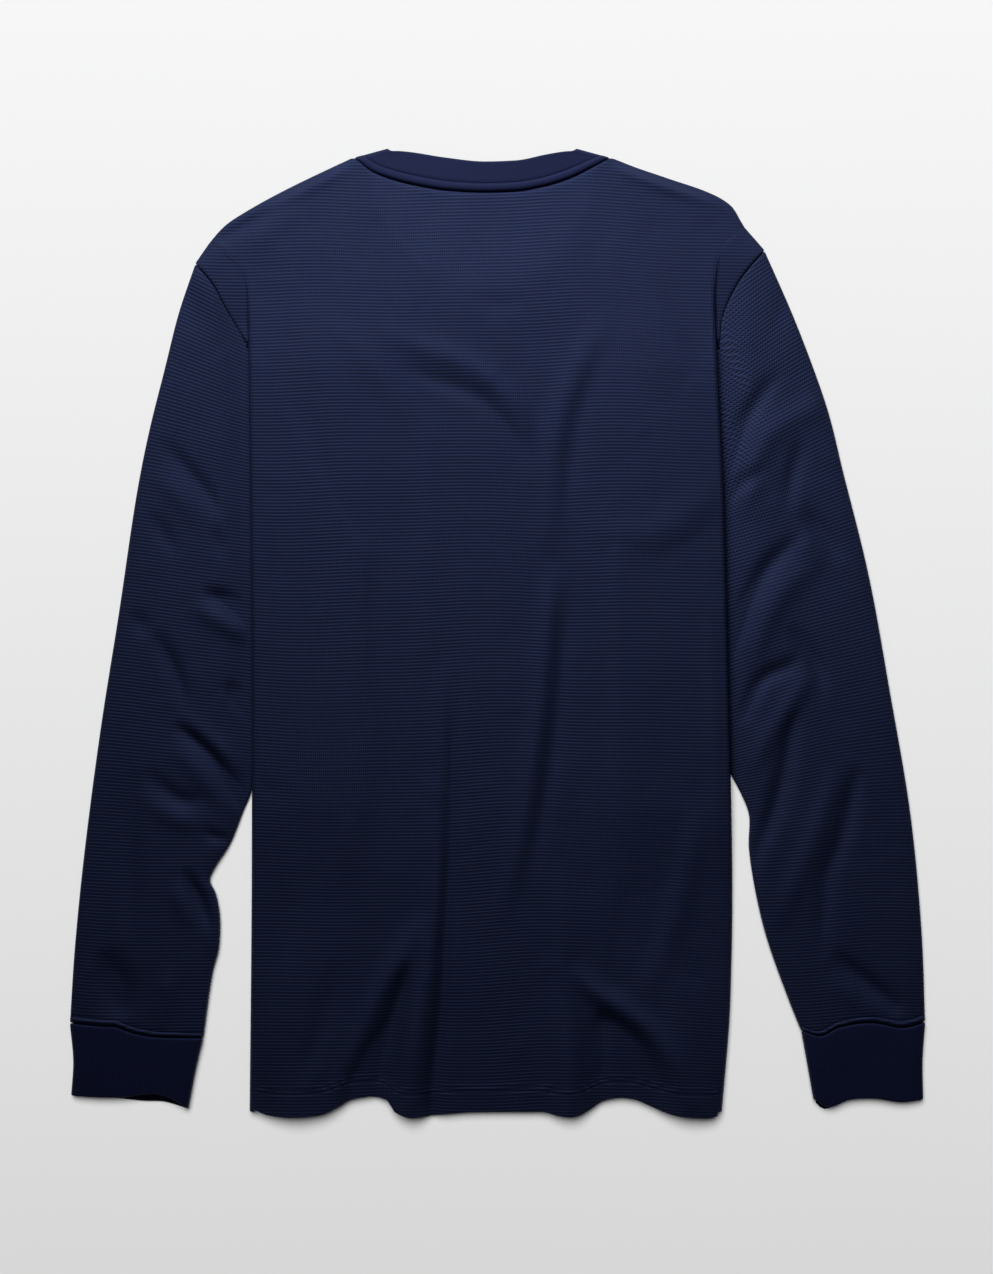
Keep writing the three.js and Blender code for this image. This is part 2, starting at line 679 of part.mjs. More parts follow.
// Columns of the back: over the left shoulder, along the back neck, over the right shoulder. Only
// the shoulders roll down to the surface, and the neck corners do so half-way.
function backColumns() {
  const [neckLeft, neckRight] = [LEFT.shoulder.at(-1).x, RIGHT.shoulder.at(-1).x];
  const [start, end] = [LEFT.creaseTop.x + FOLD, RIGHT.creaseTop.x - FOLD];
  const neckTopY = (x) => Math.min(neckSeamY(x) - EDGE_IN, NECK_TOP_Y - 1);
  const stretches = [
    { from: start, to: neckLeft, steps: 8, topY: LEFT.shoulderY, held: 0 },
    { from: neckLeft, to: neckRight, steps: 14, topY: neckTopY, held: 1 },
    { from: neckRight, to: end, steps: 8, topY: RIGHT.shoulderY, held: 0 },
  ];
  const columns = stretches.flatMap(({ from, to, steps, topY, held }) =>
    fractions(steps).map((t) => {
      const x = mix(from, to, t);
      const atCorner = x === neckLeft || x === neckRight;
      const across = (x - start) / (end - start);
      return { top: { x, y: topY(x) }, across, held: atCorner ? 0.5 : held };
    }),
  );
  return columns.filter(({ top }, i) => i === 0 || top.x !== columns[i - 1].top.x);
}

function backPanel() {
  const columns = backColumns();
  const rows = BACK_ROWS.map((row) => {
    const left = backSide(LEFT, row);
    const right = backSide(RIGHT, row);
    const middle = bodyRow(columns, row, left[0], right[0]).map((point, i) => {
      const roll = Math.max(rounded(row.distance, SHOULDER_ROLL), columns[i].held);
      const z = mix(SHOULDER_EDGE, backHeight(point.x, point.y), roll);
      return new THREE.Vector3(point.x, point.y, z);
    });
    return [...left.slice(1).reverse(), ...middle, ...right.slice(1)];
  });
  return clothWall(rows, WALL);
}

// Columns of one half of the front, from its side to its middle: half-width at the shoulder line or
// the neckline, and distance from the folded edge lower down
const FRONT_COLUMNS = [
  { half: 185, inside: 28 },
  { half: 155, inside: 47 },
  { half: 125, inside: 61 },
  { half: 102, inside: 73 },
  { half: 97, inside: 79 },
  { half: 91, inside: 86 },
  { half: 81, inside: 93 },
  { half: 68, inside: 101 },
  { half: 50, inside: 120 },
  { half: 26, inside: 147 },
];

function frontColumns() {
  const [from, to] = [LEFT.tip.x + FLAT_EDGE, RIGHT.tip.x - FLAT_EDGE];
  const body = { left: BODY_LEFT_X + FLAT_EDGE, right: BODY_RIGHT_X - FLAT_EDGE };
  const across = (x) => (x - body.left) / (body.right - body.left);
  const halfOf = (side, { half, inside }) => {
    const x = NECK_CENTRE + side.outward * half;
    const bodyX = side === LEFT ? BODY_LEFT_X + inside : BODY_RIGHT_X - inside;
    const y = half > FRONT_NECK[0].half ? side.shoulderY(x) : frontNeckY(half);
    return { top: { x, y: y - EDGE_IN }, across: across(bodyX) };
  };
  return [
    { top: { x: from, y: LEFT.shoulderY(from) - FRONT_SHOULDER_IN }, across: 0 },
    ...FRONT_COLUMNS.map((column) => halfOf(LEFT, column)),
    { top: { x: NECK_CENTRE, y: frontNeckY(0) - EDGE_IN }, across: 0.5 },
    ...[...FRONT_COLUMNS].reverse().map((column) => halfOf(RIGHT, column)),
    { top: { x: to, y: RIGHT.shoulderY(to) - FRONT_SHOULDER_IN }, across: 1 },
  ];
}

// Front panel: above, its edge lies flat along the armhole seam. Where the back's strip is tucked
// it passes inside that strip and climbs over it, then folds under itself inside the back's fold.
function frontSide(side, row) {
  const inward = -side.outward;
  const edge = edgeOf(side, row);
  if (row.y === undefined || row.y >= FRONT_FOLDS_Y) {
    const outer = frontEdge(side, row, edge);
    const lean = shoulderLean(side, { ...side.tip, inset: FLAT_EDGE }, row) - FRONT_SHOULDER_IN;
    return fractions(7).map((t) => {
      const x = outer.x + inward * FLAT_EDGE * (1 - t);
      const y = row.y ?? outer.y + lean * (1 - t);
      return new THREE.Vector3(x, y, frontHeight(x, y));
    });
  }
  const outer = edge.x + inward * INSIDE_FOLD;
  const [low, high] = [layer(layersBelow(edge.y) + 1), layer(layersBelow(edge.y) + 2)];
  const path = fractions(4).map((t) => {
    const x = outer + inward * INNER_FOLD * (1 - Math.sin(t * Math.PI));
    return new THREE.Vector3(x, edge.y, mix(low, high, (1 + Math.cos(t * Math.PI)) / 2));
  });
  const start = INSIDE_FOLD + INNER_FOLD;
  const end = row.y > FRONT_STRIP_Y ? start + 1 : tuckWidth(edge.y);
  for (const t of fractions(3).slice(1)) {
    const away = mix(start, end, t);
    const x = edge.x + inward * away;
    path.push(new THREE.Vector3(x, edge.y + stripRise(row, x, away), low));
  }
  return path;
}

// The front's unfolded edge: along the armhole seam, then inside the back's tucked strip, then over
// that strip just inside the back's fold
function frontEdge(side, row, edge) {
  const inward = -side.outward;
  if (row.y === undefined) {
    const seam = side.armholePath(row.beside);
    return { x: seam.x + inward * SEAM_GAP, y: seam.y };
  }
  const inset = row.y < FRONT_CLEARS_STRIP_Y ? INSIDE_FOLD : tuckWidth(edge.y) + 1;
  return { x: edge.x + inward * inset, y: row.y };
}

function frontPanel() {
  const columns = frontColumns();
  const rows = FRONT_ROWS.map((row) => {
    const left = frontSide(LEFT, row);
    const right = frontSide(RIGHT, row);
    const middle = bodyRow(columns, row, left[0], right[0]).map(
      (point) => new THREE.Vector3(point.x, point.y, frontHeight(point.x, point.y)),
    );
    middle[0] = left[0];
    middle[middle.length - 1] = right[0];
    return [...left.slice(1).reverse(), ...middle, ...right.slice(1)];
  });
  return clothWall(rows, WALL);
}

// Sleeves. Each has its outer and inner edge from the armhole to the wrist, the inner one hidden at
// first, and its wrist seam from the outer edge to the inner. The cuff goes on from there to its
// upper and lower layers' ends, and its waist is where it is narrowest.
const LEFT_SLEEVE = {
  side: LEFT,
  folds: LEFT_SLEEVE_FOLDS,
  outer: [
    { x: -233.7, y: 286 },
    { x: -246.1, y: 249.6 },
    { x: -257.7, y: 203.8 },
    { x: -269.3, y: 157.3 },
    { x: -278.6, y: 110.8 },
    { x: -292.6, y: 17.8 },
    { x: -307.3, y: -75.2 },
    { x: -320.5, y: -175.9 },
    { x: -327.4, y: -245.7 },
    { x: -331, y: -301.8 },
  ],
  inner: [
    { x: -119, y: 55 },
    { x: -133.7, y: 17.8 },
    { x: -153.1, y: -24.8 },
    { x: -174.8, y: -63.6 },
    { x: -187.9, y: -94.5 },
    { x: -190.5, y: -121.7 },
    { x: -197.2, y: -138.7 },
    { x: -207.3, y: -163.5 },
    { x: -218.2, y: -180.6 },
    { x: -222.8, y: -191.4 },
    { x: -218.2, y: -202.3 },
    { x: -215.1, y: -218.6 },
    { x: -215.8, y: -244.1 },
    { x: -220.5, y: -262.7 },
    { x: -227.8, y: -313.4 },
  ],
  wrist: [
    { x: -331, y: -301.8 },
    { x: -305.7, y: -304.2 },
    { x: -294.9, y: -304.8 },
    { x: -284.8, y: -308.6 },
    { x: -269.3, y: -312 },
    { x: -227.8, y: -313.4 },
  ],
  cuffWaist: [
    { x: -328.4, y: -331 },
    { x: -233.6, y: -338 },
  ],
  cuffUpper: [
    { x: -330, y: -357.7 },
    { x: -306, y: -359 },
    { x: -288, y: -358.6 },
    { x: -274, y: -356.6 },
    { x: -262, y: -356.6 },
    { x: -250, y: -361 },
    { x: -239.4, y: -368.5 },
  ],
  cuffLower: [
    { x: -330, y: -357.7 },
    { x: -305.7, y: -359.2 },
    { x: -274, y: -362.3 },
    { x: -258.5, y: -362.8 },
    { x: -239.4, y: -368.5 },
  ],
};

const RIGHT_SLEEVE = {
  side: RIGHT,
  folds: RIGHT_SLEEVE_FOLDS,
  outer: [
    { x: 206.5, y: 296.1 },
    { x: 230.6, y: 241 },
    { x: 255.4, y: 172.8 },
    { x: 267, y: 126.3 },
    { x: 287.1, y: 45 },
    { x: 303.4, y: -44.2 },
    { x: 319.7, y: -141.1 },
    { x: 328.2, y: -230.2 },
    { x: 331, y: -300.7 },
  ],
  inner: [
    { x: 105.5, y: 55 },
    { x: 125.9, y: 17.8 },
    { x: 149.2, y: -28.7 },
    { x: 168.6, y: -71.3 },
    { x: 179.4, y: -106 },
    { x: 189.5, y: -126.3 },
    { x: 194.9, y: -141.1 },
    { x: 194.9, y: -168.2 },
    { x: 205.8, y: -226.3 },
    { x: 225.1, y: -281.3 },
    { x: 235, y: -305.5 },
  ],
  wrist: [
    { x: 331, y: -300.7 },
    { x: 319.7, y: -304.4 },
    { x: 310.4, y: -305.2 },
    { x: 292.6, y: -301.7 },
    { x: 277.8, y: -302.2 },
    { x: 262.7, y: -305.6 },
    { x: 250, y: -311.6 },
    { x: 235, y: -307.5 },
  ],
  cuffWaist: [
    { x: 329, y: -331 },
    { x: 240.5, y: -338 },
  ],
  cuffUpper: [
    { x: 329.5, y: -360.8 },
    { x: 311.9, y: -362.6 },
    { x: 292.6, y: -360 },
    { x: 272.4, y: -360.8 },
    { x: 256, y: -366.4 },
    { x: 244.5, y: -360.2 },
  ],
  cuffLower: [
    { x: 329.5, y: -360.8 },
    { x: 311.9, y: -362.6 },
    { x: 292.6, y: -360 },
    { x: 272.4, y: -361.2 },
    { x: 253, y: -368.6 },
    { x: 244.5, y: -361.8 },
  ],
};

// The armhole seam in plan from the shoulder tip to the underarm. Its first part shows, and the
// rest runs down under the body along the end of the tucked strip.
function armholeSeam(side) {
  const hidden = TUCKS.filter((row) => row.width > 0 && row.y >= TUCK_FULL_Y).map(({ y, width }) => ({
    x: side.edgeX(y) - side.outward * (width + WALL / 2),
    y,
  }));
  return pathThrough([...side.armhole, ...hidden]);
}

// Plan of a tube laid flat: a place across it, from its outer edge to its inner one, and along it.
// Its ends follow their own lines, which fade out along the tube.
function flatTube(outerRows, innerRows, start, end, fade) {
  const outer = pathThrough(outerRows);
  const inner = pathThrough(innerRows);
  const straight = (across, along) => outer(along).lerp(inner(along), across);
  return (across, along) => {
    const point = straight(across, along);
    const early = (1 - smooth(0, fade, along)) * (1 - along);
    const late = smooth(1 - fade, 1, along) * along;
    point.add(start(across).sub(straight(across, 0)).multiplyScalar(early));
    point.add(end(across).sub(straight(across, 1)).multiplyScalar(late));
    return point;
  };
}

// One ring around a flat tube: along the surface, round the inner edge, back over the top and round
// the outer edge. The heights are those of the middle of the cloth.
function tubeRing(plan, along, { low, wall, highAt, steps }) {
  const width = plan(0, along).distanceTo(plan(1, along));
  const place = (inset, z) => {
    const point = plan(inset / width, along);
    point.z = z;
    return point;
  };
  const heightAt = (inset) => highAt(plan(inset / width, along), Math.min(inset, width - inset));
  const roundEdge = (inset) => {
    const high = heightAt(inset);
    return { high, middle: (high + low) / 2, half: (high - low) / 2 };
  };
  const acrossLine = plan(1, along).sub(plan(0, along)).normalize();
  const edgeHalf = (across, inset) => {
    const next = plan(across, Math.min(along + 0.004, 1));
    const edgeLine = next.sub(plan(across, Math.max(along - 0.004, 0))).normalize();
    const slant = Math.max(acrossLine.clone().cross(edgeLine).length(), SLANT_MOST);
    return Math.min(roundEdge(inset).half, EDGE_ROUND) / slant;
  };
  const [outerHalf, innerHalf] = [edgeHalf(0, wall / 2), edgeHalf(1, width - wall / 2)];
  const from = wall / 2 + outerHalf;
  const to = width - wall / 2 - innerHalf;
  const ring = fractions(steps.low).map((t) => place(mix(from, to, t), low));
  const innerEdge = roundEdge(to);
  for (const t of fractions(steps.edge).slice(1, -1)) {
    const turn = (t - 0.5) * Math.PI;
    const z = innerEdge.middle + innerEdge.half * Math.sin(turn);
    ring.push(place(to + innerHalf * Math.cos(turn), z));
  }
  for (const t of fractions(steps.high)) {
    const inset = mix(to, from, t);
    ring.push(place(inset, heightAt(inset)));
  }
  const outerEdge = roundEdge(from);
  for (const t of fractions(steps.edge).slice(1, -1)) {
    const turn = (0.5 - t) * Math.PI;
    const z = outerEdge.middle + outerEdge.half * Math.sin(turn);
    ring.push(place(from - outerHalf * Math.cos(turn), z));
  }
  return ring;
}

const TUBE_STEPS = { low: 5, edge: 4, high: 11 };
const SLEEVE_SECTIONS = 22;

function sleeve({ side, folds, outer, inner, wrist }) {
  const plan = flatTube(outer, inner, armholeSeam(side), pathThrough(wrist), SLEEVE_FADE);
  const highAt = (point, inset) => {
    const free = sleeveHeight(side, point.x, point.y) - layer(1);
    const lift = free * mix(EDGE_LOFT, 1, rounded(inset, SLEEVE_ROUND));
    const shown = smooth(0, SLEEVE_EMERGES, (point.x - foldLineX(side, point.y)) * side.outward);
    return layer(1) + softRamp(lift + shown * foldHeight(folds, point.x, point.y), 0.2);
  };
  const shape = { low: ON_SURFACE, wall: WALL, highAt, steps: TUBE_STEPS };
  const sections = fractions(SLEEVE_SECTIONS).map((t) => mix(0.0015, 0.9988, t));
  return clothWall(
    sections.map((along) => tubeRing(plan, along, shape)),
    WALL,
    true,
  );
}

function cuff({ wrist, cuffWaist, cuffUpper, cuffLower }) {
  const seam = pathThrough(wrist);
  const upperEnd = pathThrough(cuffUpper);
  const lowerEnd = pathThrough(cuffLower);
  const outerEdge = [wrist[0], cuffWaist[0], cuffUpper[0]];
  const innerEdge = [wrist.at(-1), cuffWaist[1], cuffUpper.at(-1)];
  const planTo = (end) => flatTube(outerEdge, innerEdge, seam, end, CUFF_FADE);
  const [upperPlan, lowerPlan] = [planTo(upperEnd), planTo(lowerEnd)];
  const low = RIB / 2;
  const highAt = (_, inset) =>
    low + RIB + AIR + CUFF_LOFT * mix(EDGE_LOFT, 1, rounded(inset, CUFF_ROUND));
  const count = TUBE_STEPS.low + 1;
  const sections = [0.006, 0.25, 0.5, 0.75, 0.9, 1].map((along) => {
    const shape = { low, wall: RIB, highAt, steps: TUBE_STEPS };
    const upper = tubeRing(upperPlan, along, shape);
    const lower = tubeRing(lowerPlan, along, shape);
    return upper.map((point, i) => (i < count ? lower[i] : point));
  });
  return clothWall(sections, RIB, true);
}

// Neckband: a doubled rib strip that rings the neck. Over the back neck it lies high, at each side
// it turns over a slanting fold, and under the front neck it lies on the surface.
function neckband() {
  const middle = (BAND_BACK_Z + BAND_FRONT_Z) / 2;
  const radius = (BAND_BACK_Z - BAND_FRONT_Z) / 2;
  const at = ({ x, y }, z) => new THREE.Vector3(x, y, z);
  const strip = (seam, edge) => fractions(3).map((t) => seam.clone().lerp(edge, t));
  const corners = {
    left: { seam: at(NECK_SEAM[0], 0), edge: at(BAND_EDGE[0], 0) },
    right: { seam: at(NECK_SEAM.at(-1), 0), edge: at(BAND_EDGE.at(-1), 0) },
  };

  const over = fractions(14).map((t) => {
    const seamX = mix(corners.left.seam.x + 2, corners.right.seam.x - 2, t);
    const edgeX = mix(corners.left.edge.x + 1, corners.right.edge.x - 1, t);
    const turned = radius * Math.abs(2 * t - 1) ** 8;
    const seam = { x: seamX, y: neckSeamY(seamX) + 0.6 - turned * 0.7 };
    const edge = { x: edgeX, y: bandEdgeY(edgeX) - RIB / 2 - turned };
    return strip(at(seam, BAND_BACK_Z), at(edge, BAND_BACK_Z - 0.4));
  });

  const turn = ({ seam, edge }) => {
    const fold = new THREE.Vector3().subVectors(edge, seam).normalize();
    const out = new THREE.Vector3(-fold.y, fold.x, 0).multiplyScalar(Math.sign(fold.x));
    return [45, 0, -45].map((degrees) => {
      const angle = THREE.MathUtils.degToRad(degrees);
      const shift = out.clone().multiplyScalar(radius * (Math.cos(angle) - 1) - RIB / 2);
      shift.z = middle + radius * Math.sin(angle);
      const rounding = (RIB / 2 + radius) * (angle < 0 ? Math.cos(angle) : 1);
      const end = edge.clone().addScaledVector(fold, -rounding);
      return strip(seam.clone().add(shift), end.add(shift));
    });
  };

  const under = (sign) =>
    FRONT_BAND.map(({ seamHalf, edgeHalf, edgeY }) => {
      const seam = { x: NECK_CENTRE + sign * (seamHalf - 2), y: frontNeckY(seamHalf) + 1 };
      const edge = { x: NECK_CENTRE + sign * edgeHalf, y: edgeY };
      return strip(at(seam, BAND_FRONT_Z), at(edge, BAND_FRONT_Z));
    });

  const frontMiddle = strip(
    at({ x: NECK_CENTRE, y: frontNeckY(0) + 1 }, BAND_FRONT_Z),
    at({ x: NECK_CENTRE, y: frontNeckY(0) + BAND_WIDTH }, BAND_FRONT_Z),
  );
  const sections = [
    ...over,
    ...turn(corners.right),
    ...under(1),
    frontMiddle,
    ...under(-1).reverse(),
    ...turn(corners.left).reverse(),
  ];
  const rows = fractions(3).map((_, i) => sections.map((section) => section[i]));
  return clothWall(rows, RIB, true);
}

function clothMesh(name, geometry, colour, roughness) {
  const material = new THREE.MeshStandardMaterial({ color: colour, roughness, metalness: 0 });
  const mesh = new THREE.Mesh(geometry, material);
  mesh.name = name;
  return mesh;
}

const thermalTop = new THREE.Group();
thermalTop.add(
  clothMesh("back_panel", backPanel(), WAFFLE_NAVY, WAFFLE_ROUGHNESS),
  clothMesh("front_panel", frontPanel(), WAFFLE_NAVY, WAFFLE_ROUGHNESS),
  clothMesh("sleeve_left", sleeve(LEFT_SLEEVE), WAFFLE_NAVY, WAFFLE_ROUGHNESS),
  clothMesh("sleeve_right", sleeve(RIGHT_SLEEVE), WAFFLE_NAVY, WAFFLE_ROUGHNESS),
  clothMesh("cuff_left", cuff(LEFT_SLEEVE), RIB_NAVY, RIB_ROUGHNESS),
  clothMesh("cuff_right", cuff(RIGHT_SLEEVE), RIB_NAVY, RIB_ROUGHNESS),
  clothMesh("neckband", neckband(), RIB_NAVY, RIB_ROUGHNESS),
);

export default thermalTop;
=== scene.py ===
"""Waffle-knit thermal top, laid flat with its back facing up.

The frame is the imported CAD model, in metres: +Z is up from the surface, +Y runs from the hem to the
neck and +X is to the right in the picture. The tables and the shapes below are in millimetres and
are turned to metres where a mesh is made. Every piece of cloth is a closed wall around a grid of
points in the middle of the cloth, on the form of its CAD solid, with the smaller folds added.
"""

import functools
import math
from collections import namedtuple

import bpy
import numpy as np
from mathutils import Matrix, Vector


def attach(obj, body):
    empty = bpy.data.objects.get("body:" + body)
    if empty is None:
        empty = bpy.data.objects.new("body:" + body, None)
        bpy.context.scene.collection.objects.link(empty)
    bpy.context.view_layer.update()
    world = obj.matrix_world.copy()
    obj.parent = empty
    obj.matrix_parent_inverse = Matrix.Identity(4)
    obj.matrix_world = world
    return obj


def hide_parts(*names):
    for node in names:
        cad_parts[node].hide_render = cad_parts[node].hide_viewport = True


bl_info = {
    "name": "Thermal Top, Laid Flat",
    "version": (1, 0, 0),
    "blender": (4, 5, 0),
    "location": "3D View > Sidebar > Thermal Top",
    "description": "Dresses the thermal top's solids in waffle knit and rib",
    "category": "Object",
}

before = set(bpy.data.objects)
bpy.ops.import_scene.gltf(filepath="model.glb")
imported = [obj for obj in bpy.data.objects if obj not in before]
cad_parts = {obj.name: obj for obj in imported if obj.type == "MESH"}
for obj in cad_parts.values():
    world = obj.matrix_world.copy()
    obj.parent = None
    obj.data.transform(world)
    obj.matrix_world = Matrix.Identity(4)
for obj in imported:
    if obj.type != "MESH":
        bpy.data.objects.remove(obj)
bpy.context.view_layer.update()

# Sizes, in millimetres

WALL = 1.4  # waffle knit
RIB = 2.0  # the cuffs' and neckband's rib cloth, doubled
# How each rounds off at its edges: where that starts outside the edge, and the least share left
WAFFLE_EDGE, RIB_EDGE = (WALL, 0.02, 0.2), (RIB, 0.03, 0.25)
AIR = 0.4  # between layers that lie on each other
PITCH = WALL + AIR
SEAM_GAP = 0.4
ON_SURFACE = WALL / 2

BODY_LENGTH = 740
TUCK = 72  # width of each side that is tucked under
FOLD = 3.5  # half-width of the back's rounded folded edge
FLAT_EDGE = 4
INNER_FOLD = 0.9
INSIDE_FOLD = 2.4
SHOULDER_ROLL = 12
SHOULDER_EDGE = 2.3
MIDDLE_HEIGHT = 5.0
MIDDLE_RISE = 1.5  # the thin cloth stands this much higher below the neck, to hold its folds
HOLLOW = 5.3
MIDDLE_RISES_Y = (335, 250)
BODY_DEEPER = 1.4  # how much deeper the thin cloth shows the body's folds than their table
FOLD_NARROWER = 0.92
HIGH_LOBE = 4.5  # a fold this high keeps its height
FOLDS_AT_EDGE = 0.35  # share of their height that the folds keep at the folded edges
CALM_WIDTH = 10  # distance from those edges over which they reach all of it
CALM_ENDS_Y = (296, 312)  # above this, beside the shoulder seams, they have all of it
TUCK_SLOPE = 27
SPREAD = 8
LEAST_AIR = 0.05
SOFTNESS = 0.6
SAG_START, SAG_END = 50, 133
SEAM_TO_FOLD = 80
SEAM_MEETS_FOLD_Y = 226
FRONT_CLEARS_STRIP_Y = 183
FRONT_FOLDS_Y = 150
FRONT_STRIP_Y = 130
TUCK_FULL_Y = 55
HEM_Y = -370
BODY_LEFT_X, BODY_RIGHT_X = -191, 176
STRIP_SHORTER = 2
FRONT_SHOULDER_IN = 1.5
EDGE_IN = 0.6
ROWS_EVEN, ROWS_TOP, ROWS_HEM = 0.3, 0.4, 0.72
UNDER_STEPS = np.array([0.05, 0.1, 0.2, 0.35, 0.5, 0.65, 0.78, 0.88, 0.94, 0.98, 1.0])

HEM_STITCH_ROWS = (16.2, 19.6)  # distances of the two stitch rows from the hem's edge
STITCHES_FOLLOW = 0.62  # how much of the hem's waves the stitch rows share
STITCH_GROOVE, STITCH_GROOVE_WIDTH = 0.45, 0.75
STITCH_LIFT = 0.12  # height of a stitch's middle above the groove's cloth
HEM_DOUBLED = 0.35  # the turned hem stands this much higher
HEM_TURNED = (20, 22.5)  # and ends this far from its edge
PUCKER = 0.13
PUCKER_FADES = (34, 14)

SLEEVE_LOFT = 3.4
SLEEVE_ROUND = 13
SLEEVE_EMERGES = 28
SLEEVE_FADE = 0.45
SLEEVE_LENGTH = 600
SLEEVE_SPAN = (0.0015, 0.9988)  # where the cloth starts and ends, in shares of the sleeve's plan
SLEEVE_FOLDS_AT_EDGE = 0.3
SLEEVE_CALM_WIDTH = 9
SLEEVE_SOFTNESS = 0.2
SLEEVE_MIDDLE_X, SLEEVE_MIDDLE_Y = 215, 250  # a sleeve's middle line starts here,
SLEEVE_SPLAY = 0.147  # and moves outwards by this share of the way down
CUFF_LOFT = 3.2
CUFF_ROUND = 11
CUFF_FADE = 0.95
CUFF_LENGTH = 55
CUFF_START = 0.006
EDGE_LOFT = 0.3
EDGE_ROUND = 2.4
SLANT_MOST = 0.35

NECK_CENTRE = -12
NECK_TOP_Y = 368
BAND_WIDTH = 20
BAND_BACK_Z = 4.7
BAND_FRONT_Z = RIB / 2

# Seams. The ridges are the seam allowances inside the cloth beside a seam: where they start and
# end from it, their height and how fast it rises, and the groove past their end.
SEAM_DIP, SEAM_DIP_WIDTH = 0.55, 2.6  # a sewn edge is drawn in this far
NECK_DIP, NECK_DIP_WIDTH = 0.9, 4.5  # the back is drawn in further where the neckband pulls on it
ALLOWANCE = 4.0  # half of the width of the sewn-in edges
WRIST_ALLOWANCE = 1.6
ALLOWANCE_WALL = 0.3
NECK_ALLOWANCE_Z = 2.9
Ridge = namedtuple("Ridge", "start end high rise groove groove_width")
NECK_RIDGE = Ridge(start=0.6, end=4.9, high=1.15, rise=1.6, groove=0.3, groove_width=0.8)
CUFF_RIDGE = Ridge(start=1.0, end=4.4, high=0.7, rise=1.4, groove=0.3, groove_width=0.9)
GROOVE_PAST_RIDGE = 0.5

Side = namedtuple("Side", "outward tip crease_top folded_edge armhole shoulder")
Sleeve = namedtuple("Sleeve", "side outer inner wrist cuff_waist cuff_upper cuff_lower")

# Outline of the body, as rows of x and y. Each side has its folded edge, the crease that carries
# the fold on up to the shoulder, the visible part of its armhole seam, and its shoulder line.
LEFT = Side(
    outward=-1,
    tip=(-233.7, 286),
    crease_top=(-224.4, 300.7),
    folded_edge=(
        (-224.4, 300.7), (-213.5, 293.7), (-201.5, 284.4), (-195.3, 273.6), (-193.6, 258),
        (-192.6, 226), (-191, 103), (-189.5, -50), (-190.3, -207), (-191.8, HEM_Y),
    ),
    armhole=(
        (-233.7, 286), (-220.5, 270.5), (-211.2, 253.4), (-202.7, 239), (-194.9, 226),
    ),
    shoulder=(
        (-233.7, 286), (-224.4, 300.7), (-211.2, 315.4), (-197.2, 324.7), (-164.7, 342.6),
        (-125.9, 361.2), (-113.5, 366.9),
    ),
)
RIGHT = Side(
    outward=1,
    tip=(206.5, 296.1),
    crease_top=(191.8, 313.9),
    folded_edge=(
        (191.8, 313.9), (184.1, 307.7), (176.4, 299.9), (170.3, 282.9), (168.3, 258), (169.2, 226),
        (174.8, 103), (178.6, -50), (181.7, -207), (180.2, -284), (173.6, HEM_Y),
    ),
    armhole=(
        (206.5, 296.1), (196.5, 285.2), (186.4, 272), (178.6, 257.3), (173.5, 243), (171.5, 226),
    ),
    shoulder=(
        (206.5, 296.1), (191.8, 313.9), (181.7, 330.2), (167, 339.4), (129.8, 352.6),
        (106.6, 360.4), (89.5, 367.1),
    ),
)
# Back neck seam and the neckband's free edge, as rows of x and y
NECK_SEAM = (
    (-110.4, 368.1), (-97.3, 357.3), (-79.4, 350.3), (-60.1, 345.7), (-36.8, 342.2), (-11.2, 341),
    (13.6, 341.8), (36.8, 345.7), (56.2, 351.9), (73.2, 360.4), (86.4, 368.1),
)
BAND_EDGE = (
    (-81.8, 375.9), (-63.9, 372.8), (-40.7, 368.9), (-9.7, 365.8), (13.6, 366.6), (36.8, 371.2),
    (57.7, 375.9),
)
# Lower edge of the body
HEM = (
    (-191.8, -368.1), (-182.5, -372), (-163.1, -373.9), (-140.7, -372.4), (-124.4, -365.8),
    (-114.3, -360.4), (-99.6, -358.4), (-87.2, -360.8), (-80.5, -370.2), (-67, -374.3),
    (-43, -372), (-20.5, -370.4), (33.7, -370.1), (44.6, -372.8), (55.4, -373.6), (63.9, -371.6),
    (72.5, -366.6), (81.8, -361.2), (94.2, -359.2), (104.2, -360.4), (118.2, -365.8),
    (131.4, -370.8), (145.3, -373.6), (166.2, -374.7), (173.6, -373.2),
)
# Front neckline, under the back: half its width at each height
FRONT_NECK = (
    (98.4, 367), (91, 324), (70, 278), (35, 254), (0, 247),
)
# Sections of the neckband there: half-widths at its seam and its edge, and the edge's y
FRONT_BAND = (
    (95, 71, 352), (91, 69.6, 331.7), (81, 63, 310), (68, 52, 293), (50, 38, 279.5),
    (26, 20, 270.5),
)
# How the sides are tucked, by y: width turned under, sleeve layers below it, folded edge's z
TUCKS = (
    (315, 0, 2, 5.6), (262, 0, 2, 6.8), (SEAM_MEETS_FOLD_Y, 0, 2, 8.9), (205, 5, 2, 10.1),
    (FRONT_CLEARS_STRIP_Y, 10, 2, 10.1), (160, 18, 2, 10.1), (140, 27, 2, 10.1),
    (120, 34, 2, 10.1), (75, 61, 2, 10.1), (TUCK_FULL_Y, TUCK, 2, 10.1), (-129, TUCK, 2, 10.2),
    (-147, TUCK, 1.42, 9.9), (-169, TUCK, 0.71, 8.8), (-191, TUCK, 0, 7.5), (-214, TUCK, 0, 6.8),
    (-250, TUCK, 0, 6.6), (-375, TUCK, 0, 7.2),
)
# Columns of half of the front: half-width at the top, and distance from the folded edge below
FRONT_COLUMNS = (
    (185, 28), (155, 47), (125, 61), (102, 73), (97, 79), (91, 86), (81, 93), (68, 101), (50, 120),
    (26, 147),
)
